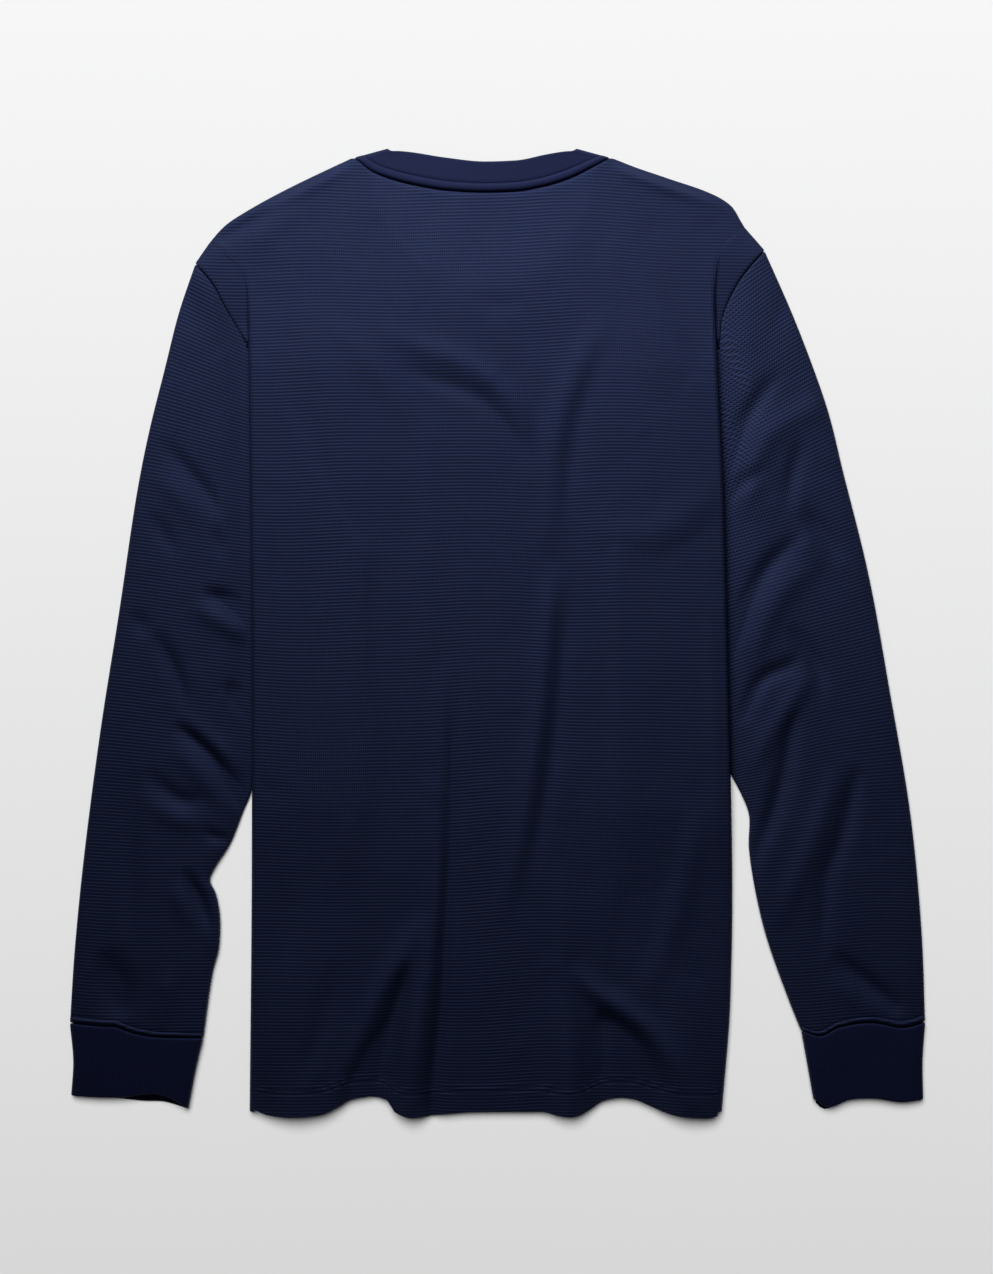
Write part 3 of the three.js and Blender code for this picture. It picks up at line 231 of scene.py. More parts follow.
# Each sleeve's outer and inner edge and its wrist seam, and the ends of its cuff
LEFT_SLEEVE = Sleeve(
    side=LEFT,
    outer=(
        (-233.7, 286), (-246.1, 249.6), (-257.7, 203.8), (-269.3, 157.3), (-278.6, 110.8),
        (-292.6, 17.8), (-307.3, -75.2), (-320.5, -175.9), (-327.4, -245.7), (-331, -301.8),
    ),
    inner=(
        (-119, 55), (-133.7, 17.8), (-153.1, -24.8), (-174.8, -63.6), (-187.9, -94.5),
        (-190.5, -121.7), (-197.2, -138.7), (-207.3, -163.5), (-218.2, -180.6), (-222.8, -191.4),
        (-218.2, -202.3), (-215.1, -218.6), (-215.8, -244.1), (-220.5, -262.7), (-227.8, -313.4),
    ),
    wrist=(
        (-331, -301.8), (-305.7, -304.2), (-294.9, -304.8), (-284.8, -308.6), (-269.3, -312),
        (-227.8, -313.4),
    ),
    cuff_waist=(
        (-328.4, -331), (-233.6, -338),
    ),
    cuff_upper=(
        (-330, -357.7), (-306, -359), (-288, -358.6), (-274, -356.6), (-262, -356.6), (-250, -361),
        (-239.4, -368.5),
    ),
    cuff_lower=(
        (-330, -357.7), (-305.7, -359.2), (-274, -362.3), (-258.5, -362.8), (-239.4, -368.5),
    ),
)
RIGHT_SLEEVE = Sleeve(
    side=RIGHT,
    outer=(
        (206.5, 296.1), (230.6, 241), (255.4, 172.8), (267, 126.3), (287.1, 45), (303.4, -44.2),
        (319.7, -141.1), (328.2, -230.2), (331, -300.7),
    ),
    inner=(
        (105.5, 55), (125.9, 17.8), (149.2, -28.7), (168.6, -71.3), (179.4, -106), (189.5, -126.3),
        (194.9, -141.1), (194.9, -168.2), (205.8, -226.3), (225.1, -281.3), (235, -305.5),
    ),
    wrist=(
        (331, -300.7), (319.7, -304.4), (310.4, -305.2), (292.6, -301.7), (277.8, -302.2),
        (262.7, -305.6), (250, -311.6), (235, -307.5),
    ),
    cuff_waist=(
        (329, -331), (240.5, -338),
    ),
    cuff_upper=(
        (329.5, -360.8), (311.9, -362.6), (292.6, -360), (272.4, -360.8), (256, -366.4),
        (244.5, -360.2),
    ),
    cuff_lower=(
        (329.5, -360.8), (311.9, -362.6), (292.6, -360), (272.4, -361.2), (253, -368.6),
        (244.5, -361.8),
    ),
)

SLEEVE_AXIS = {LEFT: (-0.144, -0.99), RIGHT: (0.158, -0.987)}
# Angle of the knit rows down each sleeve, in degrees below level to the right, by y
ROW_ANGLES = {
    LEFT: (
        (258, 27), (181, 18), (119, 12), (64, 9), (-5, 8), (-67, 6), (-129, 2), (-207, 0),
        (-253, 1),
    ),
    RIGHT: (
        (266, -38), (235, -34), (196, -29), (142, -23), (80, -17), (10, -17), (-52, -15),
        (-122, -7), (-176, -2), (-253, -1),
    ),
}
SLEEVE_DEEPER = {LEFT: 1.9, RIGHT: 1.55}  # as BODY_DEEPER, for the sleeves' folds

# Folds: each is a soft ridge, or a trough where its height is negative, along a line of rows of
# x, y, half-width and height. They run as the photograph shows them, uneven in length and depth.
BODY_FOLDS = {
    "under_neck_left": (
        (-97, 236, 9, 0), (-59, 221, 10, 1.4), (-23, 207, 10, 2), (6, 185, 9, 1.9),
        (20, 163, 8, 1.2), (27, 138, 7, 0),
    ),
    "under_neck_left_foot": (
        (-76, 207, 6, 0), (-52, 196, 6, -1), (-33, 190, 6.5, -1.3), (-15, 182, 6.5, -1.3),
        (0, 168, 6, -1.2), (14, 147, 6, -0.8), (22, 126, 5, 0),
    ),
    "under_neck_right": (
        (86, 248, 10, 0), (69, 219, 12, 1.2), (53, 181, 12, 1.7), (44, 138, 12, 1.7),
        (41, 95, 11, 1.2), (37, 57, 10, 0),
    ),
    "under_neck_right_foot": (
        (86, 226, 7, 0), (70, 192, 9, -0.7), (59, 157, 9, -0.9), (54, 115, 8, -0.7), (52, 80, 8, 0),
    ),
    "left_diagonal": (
        (-134, 244, 9, 0), (-107, 218, 10, 0.8), (-76, 179, 11, 0.9), (-57, 142, 11, 0.6),
        (-54, 26, 11, 0.5), (-56, -106, 10, 0),
    ),
    "centre_ridge": (
        (45, 57, 8, 0), (41, 26, 9, 1.6), (34, -52, 9, 2.2), (23, -129, 9, 2.4),
        (13, -182, 8, 1.4), (2, -226, 8, 0),
    ),
    "centre_ridge_foot": (
        (52, 33, 7, 0), (50, -5, 8, -1), (45, -67, 8, -1.3), (35, -137, 7, -1.2), (25, -191, 6, 0),
    ),
    "left_band": (
        (-114, 57, 13, 0), (-118, 10, 14, -1), (-128, -67, 14, -1.5), (-138, -129, 13, -1.6),
        (-142, -176, 12, -0.8), (-148, -222, 11, 0),
    ),
    "left_band_bank": (
        (-97, -5, 12, 0), (-105, -75, 13, 0.8), (-114, -145, 12, 0.8), (-118, -199, 11, 0),
    ),
    "long_crease": (
        (-34, -30, 4, 0), (-35, -83, 4.5, -1.2), (-37, -168, 5, -1.9), (-39, -205, 5, -2.3),
        (-45, -305, 5, -2.6), (-50, -350, 6, -2.6), (-52, -377, 7, -2.4),
    ),
    "long_crease_bank": (
        (-42, -24, 7, 0), (-44, -83, 7, 0.9), (-46, -150, 7, 1.3), (-48, -207, 7, 1.6),
        (-52, -262, 7, 1.6), (-57, -312, 7, 1.2), (-62, -345, 7, 0),
    ),
    "right_band": (
        (132, -64, 9, 0), (130, -106, 11, -1.3), (124, -168, 12, -1.9), (110, -211, 11, -2),
        (96, -253, 9, -1.2), (90, -284, 8, 0),
    ),
    "right_band_bank": (
        (158, -122, 9, 0), (151, -168, 10, 1.1), (137, -222, 10, 1.5), (120, -267, 9, 1),
        (110, -292, 8, 0),
    ),
    "plateau_right": (
        (64, 88, 12, 0), (99, 75, 14, 0.9), (130, 80, 15, 1.1), (157, 99, 14, 0.9),
        (179, 117, 12, 0),
    ),
    "plateau_foot": ((79, 55, 10, 0), (118, 50, 11, -0.6), (157, 68, 10, -0.5), (179, 84, 9, 0)),
    "hem_lobe_left": ((-152, -211, 22, 0), (-153, -300, 26, 2.4), (-155, -377, 27, 5.4)),
    "hem_left_ridge": (
        (-155, -230, 11, 0), (-161, -261, 12, 0.9), (-168, -300, 12, 1.1), (-173, -339, 12, 0.4),
        (-175, -362, 12, 0),
    ),
    "hem_left_trough": (
        (-124, -253, 9, 0), (-131, -284, 10, -1.1), (-142, -319, 9, -1.2), (-150, -350, 9, 0),
    ),
    "hem_valley_left": (
        (-71, -254, 4, 0), (-73, -272, 6, -2.2), (-83, -304, 8, -2.9), (-95, -332, 11, -3.3),
        (-104, -354, 13, -3.6), (-106, -377, 15, -3.6),
    ),
    "hem_valley_left_bank": (
        (-60, -216, 8, 0), (-70, -243, 9, 2), (-90, -277, 9, 2.1), (-106, -312, 9, 2.1),
        (-119, -343, 9, 1.5), (-127, -370, 9, 0.6),
    ),
    "hem_lobe_middle_left": (
        (-54, -215, 8, 0), (-60, -262, 9, 2), (-65, -312, 11, 4.2), (-69, -377, 13, 5.8),
    ),
    "hem_lobe_middle_right": (
        (51, -184, 9, 0), (51, -230, 11, 0.9), (53, -284, 12, 1.6), (55, -330, 13, 3.2),
        (55, -377, 13, 4.8),
    ),
    "hem_v_right": (
        (58, -256, 7, 0), (75, -276, 8, 3.1), (97, -291, 9, 3.8), (118, -308, 9, 3.5),
        (134, -332, 10, 2.5), (147, -362, 11, 1),
    ),
    "hem_valley_right": (
        (78, -290, 4, 0), (83, -303, 9, -2.2), (94, -322, 15, -3), (100, -348, 21, -3.8),
        (100, -377, 23, -4),
    ),
    "hem_lobe_right": ((132, -238, 18, 0), (140, -300, 21, 2.2), (149, -377, 24, 5)),
    "hem_right_dimple": ((141, -242, 7, 0), (149, -259, 8, -0.9), (155, -277, 7, 0)),
    "left_nick": ((-183, -115, 5, 0), (-170, -125, 5, -0.9), (-156, -132, 5, 0)),
    "shoulder_seam_left": (
        (-214, 308, 4, 0), (-200, 318, 5, 1.5), (-181, 328, 5.5, 2), (-158, 339.5, 5.5, 1.8),
        (-135, 350.5, 5, 1), (-112, 360, 4, 0),
    ),
    "shoulder_seam_right": (
        (86, 362, 4, 0), (103, 355.5, 5, 1.4), (133, 345, 5.5, 2.2), (157, 337, 5.5, 2.1),
        (173, 329.5, 5, 1.1), (186, 318, 4, 0),
    ),
    "shoulder_left": (
        (-227, 293, 5, 0), (-206, 312, 6, -1.8), (-183, 326, 6, -2), (-153, 345, 6, -1.5),
        (-126, 357, 5, 0),
    ),
    "shoulder_left_bank": (
        (-221, 283, 7, 0), (-196, 297, 8, 0.8), (-165, 319, 9, 0.5), (-138, 332, 8, 0),
    ),
    "shoulder_right": (
        (89, 364, 5, 0), (117, 356, 6, -1.5), (143, 346, 6, -2), (169, 332, 6, -1.3),
        (184, 319, 5, 0),
    ),
    "half_moon_foot": ((-21, 264, 6, 0), (2, 254, 7, -0.6), (25, 258, 6, 0)),
    "upper_left_hollow": (
        (-161, 258, 12, 0), (-153, 196, 14, -0.7), (-139, 126, 14, -0.6), (-130, 72, 12, 0),
    ),
    "upper_right_hollow": (
        (132, 266, 12, 0), (149, 219, 13, -0.7), (157, 165, 12, -0.5), (158, 134, 10, 0),
    ),
    "side_left": ((-175, 157, 6, 0), (-178, 57, 7, 0.7), (-179, -52, 7, 0.6), (-181, -176, 7, 0)),
    "side_right": ((162, 57, 7, 0), (166, -36, 7, 0.6), (169, -145, 7, 0.6), (169, -230, 7, 0)),
}
LEFT_SLEEVE_FOLDS = {
    "cap": ((-255, 288, 8, 0), (-240, 258, 9, -0.8), (-231, 219, 8, 0)),
    "cap_bank": ((-245, 297, 8, 0), (-227, 270, 8, 0.6), (-215, 235, 7, 0)),
    "upper": ((-262, 150, 6, 0), (-246, 133, 7, -1.1), (-225, 108, 7, -1.2), (-214, 88, 6, 0)),
    "upper_bank": ((-269, 126, 8, 0), (-248, 107, 9, 0.8), (-228, 81, 8, 0)),
    "upper_outer": ((-269, 94, 6, 0), (-259, 78, 7, -0.9), (-248, 57, 6, 0)),
    "nick": ((-220, 84, 4, 0), (-216, 70, 5, -0.8), (-213, 55, 4, 0)),
    "elbow_upper": ((-229, 32, 5, 0), (-213, 26, 6, -2.5), (-197, 16, 6, -2.7), (-186, 9, 5, -1.4)),
    "elbow_upper_bank": (
        (-238, 22, 7, 0), (-219, 12, 8, 1.3), (-200, 1, 8, 1.4), (-187, -7, 7, 0.7),
    ),
    "elbow_outer": ((-282, 19, 6, 0), (-276, 7, 7, -0.8), (-271, -5, 6, 0)),
    "elbow_long": ((-266, 2, 6, 0), (-258, -13, 7, -1.3), (-247, -36, 7, -1.4), (-241, -64, 6, 0)),
    "elbow_inner": (
        (-210, -38, 5, 0), (-201, -50, 6, -2.2), (-190, -61, 6, -2.2), (-186, -69, 5, -1.1),
    ),
    "elbow_top": (
        (-246, -62, 6, 0), (-232, -73, 7, 0.7), (-213, -90, 7, 0.9), (-196, -106, 7, 0.5),
    ),
    "elbow": (
        (-252, -70, 5, 0), (-239, -79, 5.2, -1.6), (-222, -95, 5.8, -2), (-205, -120, 6.4, -1.9),
        (-194, -135, 6, -0.9),
    ),
    "elbow_bank": (
        (-255, -86, 8, 0), (-240, -98, 9, 0.9), (-224, -116, 9, 1.1), (-210, -138, 8, 0.4),
    ),
    "elbow_lower": (
        (-272, -105, 6, 0), (-258, -120, 7, -1.1), (-242, -130, 7, -1.4), (-231, -128, 6, -0.5),
    ),
    "elbow_lower_bank": (
        (-277, -119, 8, 0), (-262, -136, 9, 0.8), (-241, -146, 9, 0.9), (-224, -143, 8, 0.3),
    ),
    "inner_nick": ((-229, -152, 5, 0), (-220, -157, 5, -1.1), (-210, -160, 5, -0.8)),
    "forearm_soft": (
        (-285, -106, 10, 0), (-286, -145, 11, -1.1), (-286, -191, 11, -1.2), (-288, -238, 10, 0),
    ),
    "forearm_crease": (
        (-243, -181, 5, 0), (-235, -198, 6, -1.8), (-228, -213, 6, -1.9), (-221, -232, 5, 0),
    ),
    "forearm_crease_bank": ((-252, -191, 7, 0), (-245, -209, 8, 0.9), (-236, -229, 7, 0)),
    "wrist_dimple": (
        (-305, -244, 8, 0), (-297, -265, 13, -1.9), (-292, -288, 13, -1.5), (-289, -300, 9, 0),
    ),
    "wrist_right": ((-255, -253, 7, 0), (-257, -277, 8, 0.7), (-262, -301, 7, 0.3)),
}
RIGHT_SLEEVE_FOLDS = {
    "upper": (
        (220, 202, 6, 0), (207, 188, 7, -1.5), (191, 162, 7, -1.9), (176, 132, 7, -1.5),
        (169, 111, 6, -0.5),
    ),
    "upper_bank": (
        (264, 187, 9, 0), (244, 173, 11, 1), (210, 153, 10, 1.4), (194, 111, 9, 1),
        (186, 80, 8, 0),
    ),
    "second": ((208, 129, 5, 0), (199, 122, 6, -1.5), (185, 113, 6, -1.7), (174, 106, 5, -0.9)),
    "short_outer": ((236, 150, 6, 0), (232, 136, 7, -1.4), (227, 117, 7, -1.4), (225, 94, 6, 0)),
    "elbow_side": ((234, 97, 6, 0), (244, 86, 7, -1.4), (256, 71, 7, -1.4), (267, 52, 6, 0)),
    "elbow_side_bank": ((227, 81, 8, 0), (239, 66, 9, 1), (251, 47, 8, 0)),
    "elbow_upper": (
        (239, 78, 6, 0), (225, 67, 7, -1.5), (207, 48, 8, -2.1), (193, 21, 7, -1.9),
        (180, -9, 7, -1.4), (174, -27, 6, -0.5),
    ),
    "elbow_upper_bank": (
        (251, 57, 8, 0), (231, 43, 10, 1.1), (214, 22, 10, 1.3), (202, -5, 9, 1), (189, -33, 8, 0),
    ),
    "elbow": (
        (236, -18, 6, 0), (224, -26, 7, -1.7), (205, -36, 7, -2.1), (194, -57, 6, -1.6),
        (189, -71, 6, 0),
    ),
    "elbow_outer": ((225, 7, 6, 0), (233, -4, 7, -1.3), (246, -24, 7, -1.7), (254, -52, 6, 0)),
    "elbow_ridge": (
        (244, -30, 7, 0), (234, -43, 8, 1.1), (217, -69, 9, 1.4), (200, -97, 8, 0.8),
        (194, -114, 7, 0),
    ),
    "forearm_upper": (
        (233, -57, 6, 0), (228, -72, 7, -1.6), (222, -108, 8, -2.3), (213, -139, 8, -2),
        (202, -168, 7, -1.1), (196, -188, 6, 0),
    ),
    "forearm_ridge": (
        (261, -103, 8, 0), (257, -123, 9, 1), (242, -165, 10, 1.3), (225, -205, 9, 0.9),
        (217, -230, 8, 0),
    ),
    "forearm_lower": (
        (278, -102, 6, 0), (275, -119, 7, -1.3), (268, -153, 8, -1.6), (255, -188, 8, -1.5),
        (251, -230, 7, -1), (253, -255, 6, 0),
    ),
    "wrist": ((259, -246, 6, 0), (273, -259, 7, -1.8), (290, -274, 7, -2.2), (307, -288, 7, -1.4)),
    "wrist_bank": ((255, -263, 8, 0), (270, -278, 9, 0.9), (287, -292, 8, 0.6)),
    "cap": ((234, 288, 8, 0), (224, 258, 9, -0.7), (213, 223, 8, 0)),
    "shoulder_bank": ((227, 297, 8, 0), (239, 264, 9, 0.6), (251, 227, 8, 0)),
}

# Curves and heights


def smooth(start, end, value):
    """0 before start, 1 after end, and a smooth rise between."""
    t = np.clip((value - start) / (end - start), 0, 1)
    return t * t * (3 - 2 * t)


def mix(a, b, t):
    return a + (b - a) * t


def soft_ramp(value, softness):
    """Zero below zero, then rising smoothly into a slope of one."""
    curved = value * value / (2 * softness)
    return np.where(value <= 0, 0, np.where(value < softness, curved, value - softness / 2))


def rounded(inside, width):
    """Height of a rounded edge: 0 at the edge, 1 from the given width inwards."""
    left = 1 - np.clip(inside / width, 0, 1)
    return np.sqrt(1 - left * left)


def smooth_column(rows):
    """Reads a table's second column against its first, smoothly and without overshooting."""
    at, to = np.array(sorted(rows), float).T
    slopes = np.diff(to) / np.diff(at)
    before, after = slopes[:-1], slopes[1:]
    same = before * after > 0
    inner = np.where(same, 2 * before * after / np.where(same, before + after, 1), 0)
    tangents = np.concatenate([slopes[:1], inner, slopes[-1:]])

    def read(k):
        k = np.clip(k, at[0], at[-1])
        i = np.clip(np.searchsorted(at, k) - 1, 0, len(at) - 2)
        width = at[i + 1] - at[i]
        t = (k - at[i]) / width
        rest = 1 - t
        return (
            to[i] * (1 + 2 * t) * rest * rest
            + tangents[i] * width * t * rest * rest
            + to[i + 1] * t * t * (3 - 2 * t)
            - tangents[i + 1] * width * t * t * rest
        )

    return read


def straight_column(rows, value=1):
    """Reads any column against the first, with straight lines between the rows."""
    at, to = np.array(sorted((row[0], row[value]) for row in rows), float).T
    return lambda k: np.interp(k, at, to)


def spline(rows, steps):
    """A smooth line through a table's rows, centripetal in x and y, with all its columns."""
    rows = np.array(rows, float)
    ends = 2 * rows[0] - rows[1], 2 * rows[-1] - rows[-2]
    rows = np.vstack([ends[0], rows, ends[1]])
    t = np.linspace(0, 1, steps, endpoint=False)[:, None]
    line = []
    for p0, p1, p2, p3 in zip(rows, rows[1:], rows[2:], rows[3:]):
        d0, d1, d2 = (
            max(math.dist(a[:2], b[:2]) ** 0.5, 1e-4) for a, b in ((p0, p1), (p1, p2), (p2, p3))
        )
        leaving = ((p1 - p0) / d0 - (p2 - p0) / (d0 + d1) + (p2 - p1) / d1) * d1
        arriving = ((p2 - p1) / d1 - (p3 - p1) / (d1 + d2) + (p3 - p2) / d2) * d1
        line.append(
            (2 * t**3 - 3 * t**2 + 1) * p1
            + (t**3 - 2 * t**2 + t) * leaving
            + (3 * t**2 - 2 * t**3) * p2
            + (t**3 - t**2) * arriving
        )
    return np.vstack([*line, rows[-2:-1]])


def path_through(rows):
    """A smooth path in plan, read by the fraction of its length."""
    line = spline(rows, 40)
    lengths = np.concatenate([[0], np.cumsum(np.hypot(*np.diff(line, axis=0).T))])

    def read(fraction):
        along = np.clip(fraction, 0, 1) * lengths[-1]
        x, y = (np.interp(along, lengths, column) for column in line.T)
        return np.stack([x, y], axis=-1)

    return read


def fold_relief(folds, low, high):
    """Height of all the folds together over an area, at each millimetre of it, read at any place.
    Each fold falls off like a bell to either side of its line."""
    xs, ys = np.arange(low[0], high[0] + 1), np.arange(low[1], high[1] + 1)
    relief = np.zeros((len(xs), len(ys)))
    for rows in folds.values():
        line = spline(rows, 5)
        reach = 2.6 * line[:, 2].max()
        (i0, j0), (i1, j1) = (
            np.clip(corner - low, 0, (len(xs), len(ys))).astype(int)
            for corner in (line[:, :2].min(axis=0) - reach, line[:, :2].max(axis=0) + reach)
        )
        x, y = np.meshgrid(xs[i0:i1], ys[j0:j1], indexing="ij")
        nearest = np.full(x.shape, np.inf)
        wide, height = np.ones(x.shape), np.zeros(x.shape)
        for start, end in zip(line, line[1:]):
            along = end[:2] - start[:2]
            share = (x - start[0]) * along[0] + (y - start[1]) * along[1]
            t = np.clip(share / (along @ along), 0, 1)
            distance = np.hypot(x - start[0] - along[0] * t, y - start[1] - along[1] * t)
            closer = distance < nearest
            nearest = np.where(closer, distance, nearest)
            wide = np.where(closer, mix(start[2], end[2], t), wide)
            height = np.where(closer, mix(start[3], end[3], t), height)
        relief[i0:i1, j0:j1] += height * np.exp(-((nearest / wide) ** 2))

    def read(x, y):
        u = np.clip(np.asarray(x, float) - low[0], 0, len(xs) - 1.001)
        v = np.clip(np.asarray(y, float) - low[1], 0, len(ys) - 1.001)
        i, j = u.astype(int), v.astype(int)
        u, v = u - i, v - j
        near = mix(relief[i, j], relief[i + 1, j], u)
        return mix(near, mix(relief[i, j + 1], relief[i + 1, j + 1], u), v)

    return read


def deeper(folds, times):
    """A table's folds, that many times as high and deep and a little narrower, as the thin cloth
    shows them. The high lobes at the hem keep their height."""
    return {
        name: tuple(
            (x, y, wide * FOLD_NARROWER, height * (times if abs(height) < HIGH_LOBE else 1))
            for x, y, wide, height in rows
        )
        for name, rows in folds.items()
    }


def small_wrinkles(seed, count, low, high, slant):
    """Short shallow wrinkles between two corners, in any direction near the given slant."""
    rng = np.random.default_rng(seed)
    folds = {}
    for i in range(count):
        centre = rng.uniform(low, high)
        angle = math.radians(slant + rng.normal(0, 38))
        reach = rng.uniform(9, 26)
        bend = rng.normal(0, 3)
        depth = rng.choice([-1, 1]) * rng.uniform(0.12, 0.34)
        wide = rng.uniform(3.2, 6.5)
        along = np.array([math.cos(angle), math.sin(angle)])
        side = np.array([-along[1], along[0]])
        middle = centre + side * bend
        folds[f"wrinkle_{i}"] = (
            (*(centre - along * reach), wide, 0),
            (*middle, wide, depth),
            (*(centre + along * reach), wide, 0),
        )
    return folds


def lie_of_cloth(x, y, seed):
    """Slight unevenness of cloth that has been laid down by hand, within about 0.25 mm."""
    rng = np.random.default_rng(seed)
    height = np.zeros(np.shape(x))
    for wavelength in (95, 71, 52, 38, 27, 21):
        angle, phase = rng.uniform(0, 2 * math.pi, 2)
        across = x * math.cos(angle) + y * math.sin(angle)
        height = height + 0.0011 * wavelength * np.sin(2 * math.pi * across / wavelength + phase)
    return height


EDGE_X = {side: smooth_column([(y, x) for x, y in side.folded_edge]) for side in (LEFT, RIGHT)}
ARMHOLE = {side: path_through(side.armhole) for side in (LEFT, RIGHT)}
SHOULDER_Y = {side: smooth_column(side.shoulder) for side in (LEFT, RIGHT)}
neck_seam_y = smooth_column(NECK_SEAM)
band_edge_y = smooth_column(BAND_EDGE)
front_neck_y = smooth_column(FRONT_NECK)
hem_y = smooth_column(HEM)
tuck_width = straight_column(TUCKS)
layers_below = straight_column(TUCKS, value=2)
folded_height = straight_column(TUCKS, value=3)

body_folds = fold_relief(
    deeper(BODY_FOLDS, BODY_DEEPER) | small_wrinkles(11, 90, (-180, -360), (165, 330), 60),
    (-240, -380),
    (215, 375),
)
sleeve_folds = {
    LEFT: fold_relief(
        deeper(LEFT_SLEEVE_FOLDS, SLEEVE_DEEPER[LEFT])
        | small_wrinkles(23, 34, (-320, -290), (-205, 250), 35),
        (-335, -320),
        (-110, 300),
    ),
    RIGHT: fold_relief(
        deeper(RIGHT_SLEEVE_FOLDS, SLEEVE_DEEPER[RIGHT])
        | small_wrinkles(37, 34, (200, -290), (320, 250), 145),
        (100, -320),
        (335, 300),
    ),
}


def layer(count):
    """Height of the middle of a layer of waffle knit that lies on that many others."""
    return ON_SURFACE + count * PITCH


def fold_line_x(side, y):
    """Folded edge of the body, carried straight on above the armhole's meeting with it."""
    return EDGE_X[side](np.minimum(y, SEAM_MEETS_FOLD_Y))


def inside_body(x, y):
    """Distance from the nearer folded edge towards the middle of the body."""
    return np.minimum(x - fold_line_x(LEFT, y), fold_line_x(RIGHT, y) - x)


def front_rest(x, y):
    """Height of the front before the back's folds lift it."""
    before = smooth(FRONT_CLEARS_STRIP_Y, SEAM_MEETS_FOLD_Y, y)
    over_strips = mix(layer(layers_below(y) + 2), ON_SURFACE, before)
    start = tuck_width(y) + 4
    down = smooth(start, start + TUCK_SLOPE, inside_body(x, y))
    return mix(over_strips, ON_SURFACE, down)


def hem_pucker(x, y):
    """Where the hem is stitched the cloth puckers a little, more finely below the stitches."""
    above = y - hem_y(x)
    fade = smooth(*PUCKER_FADES, above)
    wave = np.sin(x / 1.9 + 1.6 * np.sin(x / 23)) + 0.6 * np.sin(x / 3.3 + 2 + np.sin(x / 31))
    return PUCKER * fade * wave


def back_height(x, y):
    """Height of the middle of the back's cloth: its folds, over whatever it lies on."""
    inside = inside_body(x, y)
    sag = smooth(SAG_START, SAG_END, inside)
    calm = np.maximum(smooth(0, CALM_WIDTH, inside), smooth(*CALM_ENDS_Y, y))
    shape = body_folds(x, y) * mix(FOLDS_AT_EDGE, 1, calm)
    shape = shape + (lie_of_cloth(x, y, 5) + hem_pucker(x, y)) * calm
    middle = MIDDLE_HEIGHT + MIDDLE_RISE * smooth(*MIDDLE_RISES_Y, y)
    target = mix(folded_height(y), middle, sag) + shape
    around = [front_rest(x + i, y + j) for i in (-SPREAD, 0, SPREAD) for j in (-SPREAD, 0, SPREAD)]
    least = np.max(around, axis=0) + PITCH
    return least + LEAST_AIR + soft_ramp(target - least, SOFTNESS)


def front_height(x, y):
    """Height of the middle of the front's cloth, lifted a little under the back's high folds."""
    rest = front_rest(x, y)
    lift = soft_ramp(back_height(x, y) - HOLLOW - MIDDLE_RISE - rest, SOFTNESS)
    return rest + lift * smooth(2, TUCK_SLOPE, inside_body(x, y))


def sleeve_height(side, x, y):
    """Height of the upper sleeve beside the body, before its own edges round it off."""
    outside = (x - fold_line_x(side, y)) * side.outward
    return layer(1) + SLEEVE_LOFT * smooth(0, SLEEVE_EMERGES, outside)


# Body panels

BodyRow = namedtuple("BodyRow", "down beside distance y", defaults=(None, None))


def body_rows(from_shoulder, heights):
    """Rows from the shoulder line down: by distance from it, and then by height at the sides."""
    meets = SEAM_TO_FOLD / BODY_LENGTH
    upper = [BodyRow(d / BODY_LENGTH, d / SEAM_TO_FOLD, d) for d in from_shoulder]
    lower = []
    for y in heights:
        share = (SEAM_MEETS_FOLD_Y - y) / (SEAM_MEETS_FOLD_Y - HEM_Y)
        lower.append(BodyRow(mix(meets, 1, share), 1, math.inf, y))
    return upper + lower


def thinned(cloth, from_edge):
    """Thickness of a cloth at a distance from its edge, where it is rounded off."""
    wall, start, least = cloth
    return wall * np.maximum(rounded(from_edge + start, wall / 2), least)


def with_thickness(rows, thickness):
    """The grid of those rows of points, and each row's thickness at each of its points."""
    grid = np.array(rows)
    return grid, np.repeat(np.array(thickness)[:, None], grid.shape[1], axis=1)


def edge_of(side, row):
    """Place of the crease or folded edge in a row."""
    y = row.y if row.y is not None else mix(side.crease_top[1], SEAM_MEETS_FOLD_Y, row.beside)
    return float(EDGE_X[side](y)) - side.outward * WALL / 2, y


def body_row(columns, row, left, right):
    """Places the columns between the two sides of a row. Near the top it follows the shoulders
    and the neck, near the hem it follows the hem, and between them it is straight."""
    top_x, top_y, across = columns
    settle = smooth(0, ROWS_EVEN, row.down)
    near_top = 1 - smooth(0, ROWS_TOP, row.down)
    near_hem = smooth(ROWS_HEM, 1, row.down)
    if row.y is not None:
        near_hem = near_hem * mix(1, STITCHES_FOLLOW, min((row.y - HEM_Y) / HEM_STITCH_ROWS[0], 1))
    free_x = mix(top_x, mix(BODY_LEFT_X, BODY_RIGHT_X, across), settle)
    left_pull, right_pull = left[0] - free_x[0], right[0] - free_x[-1]
    pull = left_pull * (1 - across) ** 8 + right_pull * across**8
    top_offset = top_y - mix(top_y[0], top_y[-1], across)
    hem_offset = hem_y(mix(HEM[0][0], HEM[-1][0], across)) - HEM_Y
    y = mix(left[1], right[1], across) + top_offset * near_top + hem_offset * near_hem
    return free_x + pull, y


def shoulder_lean(side, place, inset, row):
    """How far a row's bend towards the shoulder line carries the inner end of its side."""
    start = place[0] - side.outward * inset
    return (SHOULDER_Y[side](start) - place[1]) * (1 - smooth(0, ROWS_TOP, row.down))


def seam_height(side, seam, along):
    """Height of the cloth at a place of the armhole seam, which lies that far along it."""
    return mix(float(sleeve_height(side, *seam)), layer(2), float(smooth(0.75, 1, along)))


